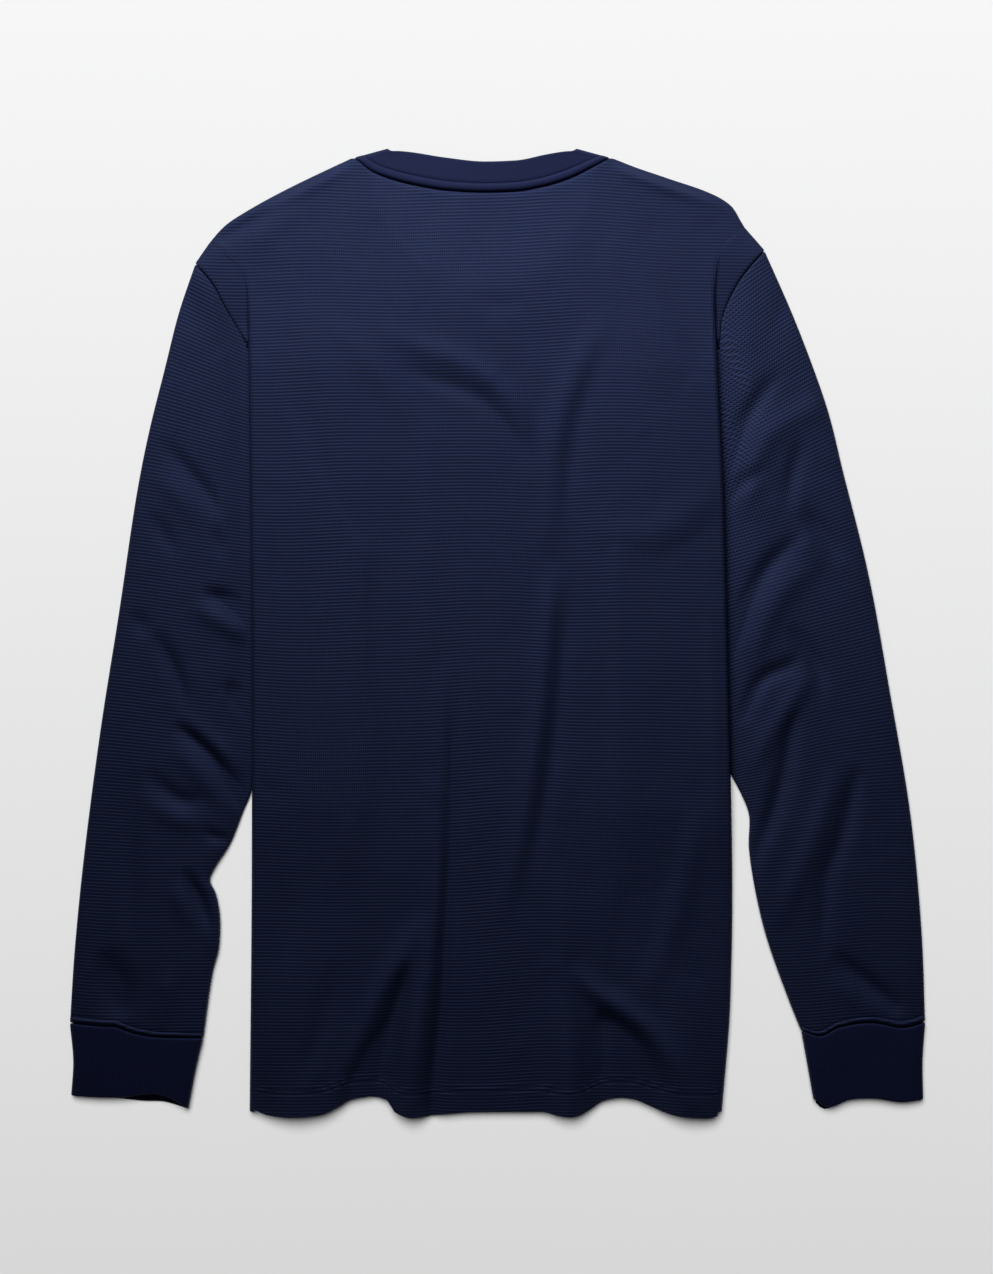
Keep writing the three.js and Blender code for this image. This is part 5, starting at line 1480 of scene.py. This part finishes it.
def waffle_knit(colours, sizes):
    """Dyed cotton, knitted into a waffle: raised walls of loops around small wells. Its walls catch
    the light in fine rows and its wells are painted darker, as painted shade, so it looks matt and
    finely ribbed."""
    material, tree, shader = cotton("waffle_knit_navy_cotton", 0.56, 0.32, "#8fa0f0")
    uv = add_node(tree, "ShaderNodeUVMap", uv_map="grain").outputs["UV"]
    place = add_node(tree, "ShaderNodeSeparateXYZ", {"Vector": uv}).outputs

    def wall(value, pitch, start, end):
        cells = add_node(
            tree, "ShaderNodeMath", {0: value, 1: pitch}, operation="DIVIDE"
        ).outputs[0]
        tent = add_node(tree, "ShaderNodeMath", {0: cells, 1: 0.5}, operation="PINGPONG").outputs[0]
        return add_node(
            tree,
            "ShaderNodeMapRange",
            {"Value": tent, "From Min": start, "From Max": end},
            interpolation_type="SMOOTHSTEP",
        ).outputs[0]

    # Each wall rises from its start to its end, in cells from the middle of a well.
    walls = [
        add_node(tree, "ShaderNodeMath", {0: full, 1: high}, operation="MULTIPLY").outputs[0]
        for full, high in (
            (wall(place["Y"], sizes.waffle_row, 0.1, 0.42), ROW_HEIGHT),
            (wall(place["X"], sizes.waffle_column, 0.16, 0.46), COLUMN_HEIGHT),
        )
    ]
    walls = add_node(
        tree, "ShaderNodeMath", {0: walls[0], 1: walls[1]}, operation="MAXIMUM"
    ).outputs[0]
    yarn = add_node(
        tree, "ShaderNodeTexNoise", {"Vector": uv, "Scale": 1500.0, "Detail": 2.0, "Roughness": 0.6}
    ).outputs["Fac"]
    relief = add_node(
        tree, "ShaderNodeMath", {0: yarn, 1: WAFFLE_YARN, 2: walls}, operation="MULTIPLY_ADD"
    ).outputs[0]

    patches = add_node(
        tree, "ShaderNodeTexNoise", {"Vector": uv, "Scale": 26.0, "Detail": 3.0, "Roughness": 0.55}
    ).outputs["Fac"]
    shade = add_node(
        tree, "ShaderNodeMapRange", {"Value": patches, "To Min": 0.86, "To Max": 1.14}
    ).outputs[0]
    # The wells are painted darker than the walls: painted shade in the wells.
    cloth = add_node(
        tree,
        "ShaderNodeMix",
        {"Factor": relief, 6: (*colours.waffle_well_painted_shade, 1), 7: (*colours.waffle_wall, 1)},
        data_type="RGBA",
    ).outputs[2]
    # One layer of cloth lies on the pale surface inside the front neckline. The light that the
    # surface sends back through it is painted on as a lighter half-moon: painted light.
    squares = []
    for axis, middle, reach in zip("XY", HALF_MOON_MIDDLE, HALF_MOON_REACH):
        away = add_node(
            tree, "ShaderNodeMath", {0: place[axis], 1: middle}, operation="SUBTRACT"
        ).outputs[0]
        away = add_node(tree, "ShaderNodeMath", {0: away, 1: reach}, operation="DIVIDE").outputs[0]
        square = add_node(tree, "ShaderNodeMath", {0: away, 1: away}, operation="MULTIPLY")
        squares.append(square.outputs[0])
    distance = add_node(
        tree, "ShaderNodeMath", {0: squares[0], 1: squares[1]}, operation="ADD"
    ).outputs[0]
    painted_neck_light = add_node(
        tree,
        "ShaderNodeMapRange",
        {"Value": distance, "From Min": 1.1, "From Max": 0.94, "To Max": HALF_MOON_PAINTED_LIGHT},
        interpolation_type="SMOOTHSTEP",
    ).outputs[0]
    tone_and_painted_light = add_node(
        tree, "ShaderNodeMath", {0: shade, 1: painted_neck_light}, operation="ADD"
    ).outputs[0]
    colour = add_node(
        tree, "ShaderNodeVectorMath", {0: cloth, "Scale": tone_and_painted_light}, operation="SCALE"
    ).outputs[0]
    tree.links.new(colour, shader.inputs["Base Color"])
    bump = add_node(
        tree, "ShaderNodeBump", {"Height": relief, "Strength": 0.7, "Distance": sizes.waffle_depth}
    )
    tree.links.new(bump.outputs["Normal"], shader.inputs["Normal"])
    return material


def rib_knit(colours, sizes):
    """Dyed cotton knitted in a fine rib: narrow smooth ridges side by side. It is denser and darker
    than the waffle, its grooves are painted darker as painted shade, and its ridges give it a faint
    sheen along them."""
    material, tree, shader = cotton("fine_rib_navy_cotton", 0.6, 0.26, "#8fa0f0")
    uv = add_node(tree, "ShaderNodeUVMap", uv_map="grain").outputs["UV"]
    across = add_node(tree, "ShaderNodeSeparateXYZ", {"Vector": uv}).outputs["X"]
    cells = add_node(
        tree, "ShaderNodeMath", {0: across, 1: sizes.rib_pitch}, operation="DIVIDE"
    ).outputs[0]
    tent = add_node(tree, "ShaderNodeMath", {0: cells, 1: 0.5}, operation="PINGPONG").outputs[0]
    ridge = add_node(
        tree,
        "ShaderNodeMapRange",
        {"Value": tent, "From Min": 0.04, "From Max": 0.36},
        interpolation_type="SMOOTHSTEP",
    ).outputs[0]
    yarn = add_node(
        tree, "ShaderNodeTexNoise", {"Vector": uv, "Scale": 1300.0, "Detail": 2.0, "Roughness": 0.6}
    ).outputs["Fac"]
    relief = add_node(
        tree, "ShaderNodeMath", {0: yarn, 1: 0.4, 2: ridge}, operation="MULTIPLY_ADD"
    ).outputs[0]
    # The grooves are painted darker than the ridges: painted shade in the grooves.
    colour = add_node(
        tree,
        "ShaderNodeMix",
        {"Factor": relief, 6: (*colours.rib_groove_painted_shade, 1), 7: (*colours.rib_ridge, 1)},
        data_type="RGBA",
    ).outputs[2]
    tree.links.new(colour, shader.inputs["Base Color"])
    bump = add_node(
        tree, "ShaderNodeBump", {"Height": relief, "Strength": 0.6, "Distance": 0.00025}
    )
    tree.links.new(bump.outputs["Normal"], shader.inputs["Normal"])
    return material


def sewing_thread(colours):
    """Spun polyester sewing thread: two plies twisted together, slightly glossier than the knit."""
    material, tree, shader = cotton("spun_polyester_thread", 0.6, 0.4, "#8a94ff")
    place = add_node(tree, "ShaderNodeTexCoord").outputs["Object"]
    twist = add_node(
        tree, "ShaderNodeTexNoise", {"Vector": place, "Scale": 2200.0, "Detail": 1.0}
    ).outputs["Fac"]
    dark = tuple(c * 0.6 for c in colours.thread)
    colour = add_node(
        tree,
        "ShaderNodeMix",
        {"Factor": twist, 6: (*dark, 1), 7: (*colours.thread, 1)},
        data_type="RGBA",
    ).outputs[2]
    tree.links.new(colour, shader.inputs["Base Color"])
    return material


def painted_board(colours):
    """A sprayed matt board: a pale surface with hardly any gloss. It is painted slowly greyer
    from the neck to below the hem, as painted shade for light that falls off towards the hem."""
    material = bpy.data.materials.new("matt_painted_board")
    material.use_nodes = True
    tree = material.node_tree
    shader = tree.nodes["Principled BSDF"]
    shader.inputs["Roughness"].default_value = 0.9
    shader.inputs["Specular IOR Level"].default_value = 0.2
    place = add_node(tree, "ShaderNodeTexCoord").outputs["Object"]
    mottle = add_node(
        tree, "ShaderNodeTexNoise", {"Vector": place, "Scale": 3.0, "Detail": 2.0}
    ).outputs["Fac"]
    up = add_node(tree, "ShaderNodeSeparateXYZ", {"Vector": place}).outputs["Y"]
    # Painted shade: the surface's colour turns greyer towards the hem, where the light falls off.
    rise = add_node(
        tree, "ShaderNodeMapRange", {"Value": up, "From Min": -0.6, "From Max": 0.5}
    ).outputs[0]
    uneven = add_node(
        tree, "ShaderNodeMath", {0: mottle, 1: 0.03, 2: rise}, operation="MULTIPLY_ADD"
    ).outputs[0]
    colour = add_node(
        tree,
        "ShaderNodeMix",
        {"Factor": uneven, 6: (*colours.floor_painted_shade, 1), 7: (*colours.floor, 1)},
        data_type="RGBA",
    ).outputs[2]
    tree.links.new(colour, shader.inputs["Base Color"])
    return material


def material_of(name, make):
    """The material of that name, made once."""
    return bpy.data.materials.get(name) or make()


def finish_piece(obj, material, slot, *nodes):
    """Gives a piece its material, and hides the CAD nodes that it stands for. Its slot is not used.
    """
    obj.data.materials.append(material)
    if nodes:
        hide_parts(*nodes)
    return obj


def present(name):
    """That piece's name in a list, if it has been made."""
    return [name] if name in bpy.data.objects else []


def waffle():
    scene = bpy.context.scene
    return material_of(
        "waffle_knit_navy_cotton", lambda: waffle_knit(scene.top_colours, scene.top_sizes)
    )


def rib():
    scene = bpy.context.scene
    return material_of("fine_rib_navy_cotton", lambda: rib_knit(scene.top_colours, scene.top_sizes))


def thread():
    scene = bpy.context.scene
    return material_of("spun_polyester_thread", lambda: sewing_thread(scene.top_colours))


# What a user would change


def length_setting(name, description, metres):
    return bpy.props.FloatProperty(
        name=name, description=description, default=metres, unit="LENGTH"
    )


def colour_setting(name, description, hex_colour):
    return bpy.props.FloatVectorProperty(
        name=name, description=description, default=linear(hex_colour), subtype="COLOR"
    )


class TopSizes(bpy.types.PropertyGroup):
    """Sizes of the knit and its stitches."""

    waffle_row: length_setting("Waffle Row", "Height of one waffle cell", 0.0025)
    waffle_column: length_setting("Waffle Column", "Width of one waffle cell", 0.0016)
    waffle_depth: length_setting("Waffle Depth", "Depth of the wells", 0.0005)
    rib_pitch: length_setting("Rib Pitch", "Distance between two ribs", 0.0014)
    stitch_length: length_setting("Stitch Length", "Length of one hem stitch", 0.0023)
    stitch_gap: length_setting("Stitch Gap", "Gap between two hem stitches", 0.0008)
    thread_width: length_setting("Thread Width", "Width of the sewing thread", 0.0005)


class TopColours(bpy.types.PropertyGroup):
    """Colours of the cloth, the thread and the surface."""

    waffle_wall: colour_setting("Waffle Walls", "Raised walls of the waffle", "#1c233e")
    # the wells' colour is darker, as painted shade in them
    waffle_well_painted_shade: colour_setting("Waffle Wells", "Wells of the waffle", "#10141f")
    rib_ridge: colour_setting("Rib Ridges", "Ridges of the rib knit", "#171b37")
    # the grooves' colour is darker, as painted shade in them
    rib_groove_painted_shade: colour_setting("Rib Grooves", "Grooves of the rib knit", "#0b0e1c")
    thread: colour_setting("Thread", "Sewing thread", "#1b2036")
    floor: colour_setting("Surface", "Surface that the top lies on", "#f7f7f7")
    # the surface's colour below the hem, greyer as painted shade for the light's falloff
    floor_painted_shade: colour_setting("Surface Below", "The same below the hem", "#d2d2d2")


class TopStage(bpy.types.PropertyGroup):
    """Light and camera."""

    camera_height: length_setting("Camera Height", "Camera above the surface", 2.2)
    window_power: bpy.props.FloatProperty(
        name="Window Power",
        description="Power of the soft light on the cloth",
        default=19.0,
        unit="POWER",
    )
    surface_light: bpy.props.FloatProperty(
        name="Surface Light", description="Strength of the light on the surface", default=3.45
    )
    room_light: bpy.props.FloatProperty(
        name="Room Light", description="Strength of the even light all round", default=0.06
    )


# Operators


class TOP_OT_back_panel(bpy.types.Operator):
    """Makes the back panel, with its folds and its turned hem, drawn in along its neck seam"""

    bl_idname = "thermal_top.back_panel"
    bl_label = "Back Panel"

    def execute(self, context):
        grid, thickness = back_grid()
        centre = grid.shape[1] // 2
        wall = cloth_wall("back_panel_cloth", grid, grain(grid, centre), thickness)
        finish_piece(wall, waffle(), "waffle_knit", "back_panel")
        flat_area(grid)
        present("hem_stitches")
        return {"FINISHED"}


class TOP_OT_front_panel(bpy.types.Operator):
    """Makes the front panel, which lies on the surface under the back"""

    bl_idname = "thermal_top.front_panel"
    bl_label = "Front Panel"

    def execute(self, context):
        grid = front_grid()
        centre = grid.shape[1] // 2
        wall = cloth_wall("front_panel_cloth", grid, grain(grid, centre), WALL)
        finish_piece(wall, waffle(), "waffle_knit", "front_panel")
        return {"FINISHED"}


class TOP_OT_sleeves(bpy.types.Operator):
    """Makes both sleeves, as tubes laid flat with the upper cloth in folds"""

    bl_idname = "thermal_top.sleeves"
    bl_label = "Sleeves"

    def execute(self, context):
        for sleeve, name in ((LEFT_SLEEVE, "left"), (RIGHT_SLEEVE, "right")):
            grid, thickness = sleeve_grid(sleeve)
            uv = tube_grain(grid, SLEEVE_AXIS[sleeve.side], sleeve_rows(sleeve.side))
            wall = cloth_wall(f"sleeve_{name}_cloth", grid, uv, thickness, ring=True)
            finish_piece(wall, waffle(), "waffle_knit", f"sleeve_{name}")
            flat_area(grid, ring=True)
            present(f"armhole_{name}_seam_allowance")
        return {"FINISHED"}


class TOP_OT_cuffs(bpy.types.Operator):
    """Makes both cuffs, as doubled bands of rib"""

    bl_idname = "thermal_top.cuffs"
    bl_label = "Cuffs"

    def execute(self, context):
        for sleeve, name in ((LEFT_SLEEVE, "left"), (RIGHT_SLEEVE, "right")):
            grid, thickness = cuff_grid(sleeve)
            uv = tube_grain(grid, (0, -1))
            wall = cloth_wall(f"cuff_{name}_rib", grid, uv, thickness, ring=True)
            finish_piece(wall, rib(), "rib_knit", f"cuff_{name}")
            flat_area(grid, ring=True)
            present(f"wrist_{name}_seam_allowance")
        return {"FINISHED"}


class TOP_OT_neckband(bpy.types.Operator):
    """Makes the neckband, as a doubled band of rib round the neck"""

    bl_idname = "thermal_top.neckband"
    bl_label = "Neckband"

    def execute(self, context):
        grid, thickness, across = band_grid()
        closed = np.concatenate([grid, grid[:, :1]], axis=1)
        steps = np.linalg.norm(np.diff(closed[len(closed) // 2], axis=0), axis=1)
        round_neck = np.concatenate([[0], np.cumsum(steps)])
        from_seam = across[:, None] * BAND_WIDTH
        uv = np.stack(np.broadcast_arrays(round_neck[None, :], from_seam), axis=-1)
        wall = cloth_wall("neckband_rib", grid, uv, thickness, ring=True)
        finish_piece(wall, rib(), "rib_knit", "neckband")
        flat_area(grid, ring=True)
        present("neck_seam_allowance")
        return {"FINISHED"}


class TOP_OT_stitches(bpy.types.Operator):
    """Makes the two rows of stitches that hold the turned hem"""

    bl_idname = "thermal_top.stitches"
    bl_label = "Hem Stitches"

    def execute(self, context):
        sizes = context.scene.top_sizes
        grid, thickness = back_grid()
        upper = surface_above(grid, thickness)
        # The stitches leave out the folded and tucked sides.
        side_columns = len(UNDER_STEPS) + 14
        near_hem = upper[-60:, side_columns:-side_columns]
        columns = near_hem.transpose(1, 0, 2)[:, ::-1]
        stitch = [
            size * 1000 for size in (sizes.stitch_length, sizes.stitch_gap, sizes.thread_width)
        ]
        rows = []
        for distance in HEM_STITCH_ROWS:
            path = []
            for x, y, z in (column.T for column in columns):
                at = float(stitch_line_y(x[0], distance))
                path.append((np.interp(at, y, x), at, np.interp(at, y, z) + STITCH_LIFT))
            rows.append(stitch_row(path, *stitch))
        made = thread_object("hem_stitches", rows)
        made.data.materials.append(thread())
        return {"FINISHED"}


class TOP_OT_seam_allowances(bpy.types.Operator):
    """Makes the sewn-in edges under the neck seam, both armhole seams and both wrist seams"""

    bl_idname = "thermal_top.seam_allowances"
    bl_label = "Seam Allowances"

    def execute(self, context):
        x = np.linspace(NECK_SEAM[0][0] + 6, NECK_SEAM[-1][0] - 6, 60)
        centres = np.stack([x, neck_seam_y(x), np.full(x.shape, NECK_ALLOWANCE_Z)], axis=-1)
        seam_allowance("neck_seam_allowance", centres, rib(), "rib_knit")
        for side, name in ((LEFT, "left"), (RIGHT, "right")):
            centres = []
            for t in np.linspace(0.015, 1, 42):
                place = ARMHOLE[side](t)
                roll = float(rounded(t * SEAM_TO_FOLD, SHOULDER_ROLL))
                z = mix(SHOULDER_EDGE, seam_height(side, place, t), roll) - SEAM_DIP * roll
                centres.append((*place, z - WALL / 2 - 0.2))
            centres.append(2.5 * np.array(centres[-1]) - 1.5 * np.array(centres[-3]))
            seam_allowance(f"armhole_{name}_seam_allowance", centres, waffle(), "waffle_knit")
        between = (layer(0) + layer(1)) / 2
        for sleeve, name in ((LEFT_SLEEVE, "left"), (RIGHT_SLEEVE, "right")):
            places = path_through(sleeve.wrist)(np.linspace(0.02, 0.98, 40))
            centres = np.column_stack([places, np.full(len(places), between)])
            seam_allowance(
                f"wrist_{name}_seam_allowance", centres, rib(), "rib_knit", WRIST_ALLOWANCE
            )
        return {"FINISHED"}


EVEN_LIGHT_ANGLE = 45  # degrees, so that its shadows are soft
FLOOR_HALF_SIZE = 5.0
FLOOR_BELOW = 0.0001  # keeps the floor from touching the cloth that rests on it
LENS, SENSOR = 80.2, 36


def soft_light(name, place, target, size, power):
    """A rectangular light of that size, or an even one without a size, that faces a place on the
    surface and stays out of every camera's sight."""
    light = bpy.data.lights.new(name, "AREA" if size else "SUN")
    light.energy = power
    if size:
        light.shape = "RECTANGLE"
        light.size, light.size_y = size
    else:
        light.angle = math.radians(EVEN_LIGHT_ANGLE)
    obj = bpy.data.objects.new(name, light)
    obj.location = place
    obj.rotation_euler = (Vector(target) - obj.location).to_track_quat("-Z", "Y").to_euler()
    obj.visible_camera = False
    bpy.context.scene.collection.objects.link(obj)
    return obj


class TOP_OT_stage(bpy.types.Operator):
    """Makes the pale surface, the soft light from above the collar and the camera straight above"""

    bl_idname = "thermal_top.stage"
    bl_label = "Stage"

    def execute(self, context):
        scene = context.scene
        stage = scene.top_stage
        mesh = bpy.data.meshes.new("floor")
        corners = [
            (x * FLOOR_HALF_SIZE, y * FLOOR_HALF_SIZE, -FLOOR_BELOW)
            for x, y in ((-1, -1), (1, -1), (1, 1), (-1, 1))
        ]
        mesh.from_pydata(corners, [], [(0, 1, 2, 3)])
        floor = bpy.data.objects.new("floor", mesh)
        floor.data.materials.append(painted_board(scene.top_colours))
        scene.collection.objects.link(floor)

        # In the photo the light falls off a lot over the cloth and little over the surface. So the
        # window lights the top alone, and an even light from the same side lights the surface.
        window = soft_light(
            "window", (-0.1, 0.95, 0.62), (1, 0, 0), (0.9, 0.5), stage.window_power
        )
        even_light = soft_light(
            "even_light", (-0.5, 1.7, 3.0), (0, 0, 0), None, stage.surface_light
        )
        for light, state in ((window, "EXCLUDE"), (even_light, "INCLUDE")):
            surface = bpy.data.collections.new(f"surface_and_{light.name}")
            surface.objects.link(floor)
            surface.collection_objects[0].light_linking.link_state = state
            light.light_linking.receiver_collection = surface

        world = bpy.data.worlds.new("room")
        world.use_nodes = True
        background = world.node_tree.nodes["Background"]
        background.inputs["Color"].default_value = (*linear("#f4f6fa"), 1)
        background.inputs["Strength"].default_value = stage.room_light
        scene.world = world
        scene.view_settings.view_transform = "Standard"

        camera = bpy.data.cameras.new("camera")
        camera.lens, camera.sensor_width = LENS, SENSOR
        camera.clip_end = 20
        camera_object = bpy.data.objects.new("camera", camera)
        camera_object.location = (-0.0008, -0.0031, stage.camera_height)
        scene.collection.objects.link(camera_object)
        scene.camera = camera_object
        return {"FINISHED"}


class TOP_PT_panel(bpy.types.Panel):
    """Lists the pieces of the top"""

    bl_label = "Thermal Top"
    bl_idname = "TOP_PT_panel"
    bl_space_type = "VIEW_3D"
    bl_region_type = "UI"
    bl_category = "Thermal Top"

    def draw(self, context):
        for operator in OPERATORS:
            self.layout.operator(operator.bl_idname)
        for group in ("top_sizes", "top_colours", "top_stage"):
            settings = getattr(context.scene, group)
            box = self.layout.box()
            for name in settings.__annotations__:
                box.prop(settings, name)


OPERATORS = (
    TOP_OT_stage,
    TOP_OT_stitches,
    TOP_OT_seam_allowances,
    TOP_OT_front_panel,
    TOP_OT_back_panel,
    TOP_OT_sleeves,
    TOP_OT_cuffs,
    TOP_OT_neckband,
)
GROUPS = {"top_sizes": TopSizes, "top_colours": TopColours, "top_stage": TopStage}


def register():
    for cls in (*GROUPS.values(), *OPERATORS, TOP_PT_panel):
        bpy.utils.register_class(cls)
    for name, cls in GROUPS.items():
        setattr(bpy.types.Scene, name, bpy.props.PointerProperty(type=cls))


def unregister():
    for name in GROUPS:
        delattr(bpy.types.Scene, name)
    for cls in (TOP_PT_panel, *reversed(OPERATORS), *reversed(list(GROUPS.values()))):
        bpy.utils.unregister_class(cls)


def main():
    register()
    for operator in OPERATORS:
        module, name = operator.bl_idname.split(".")
        getattr(getattr(bpy.ops, module), name)()


if __name__ == "__main__":
    main()
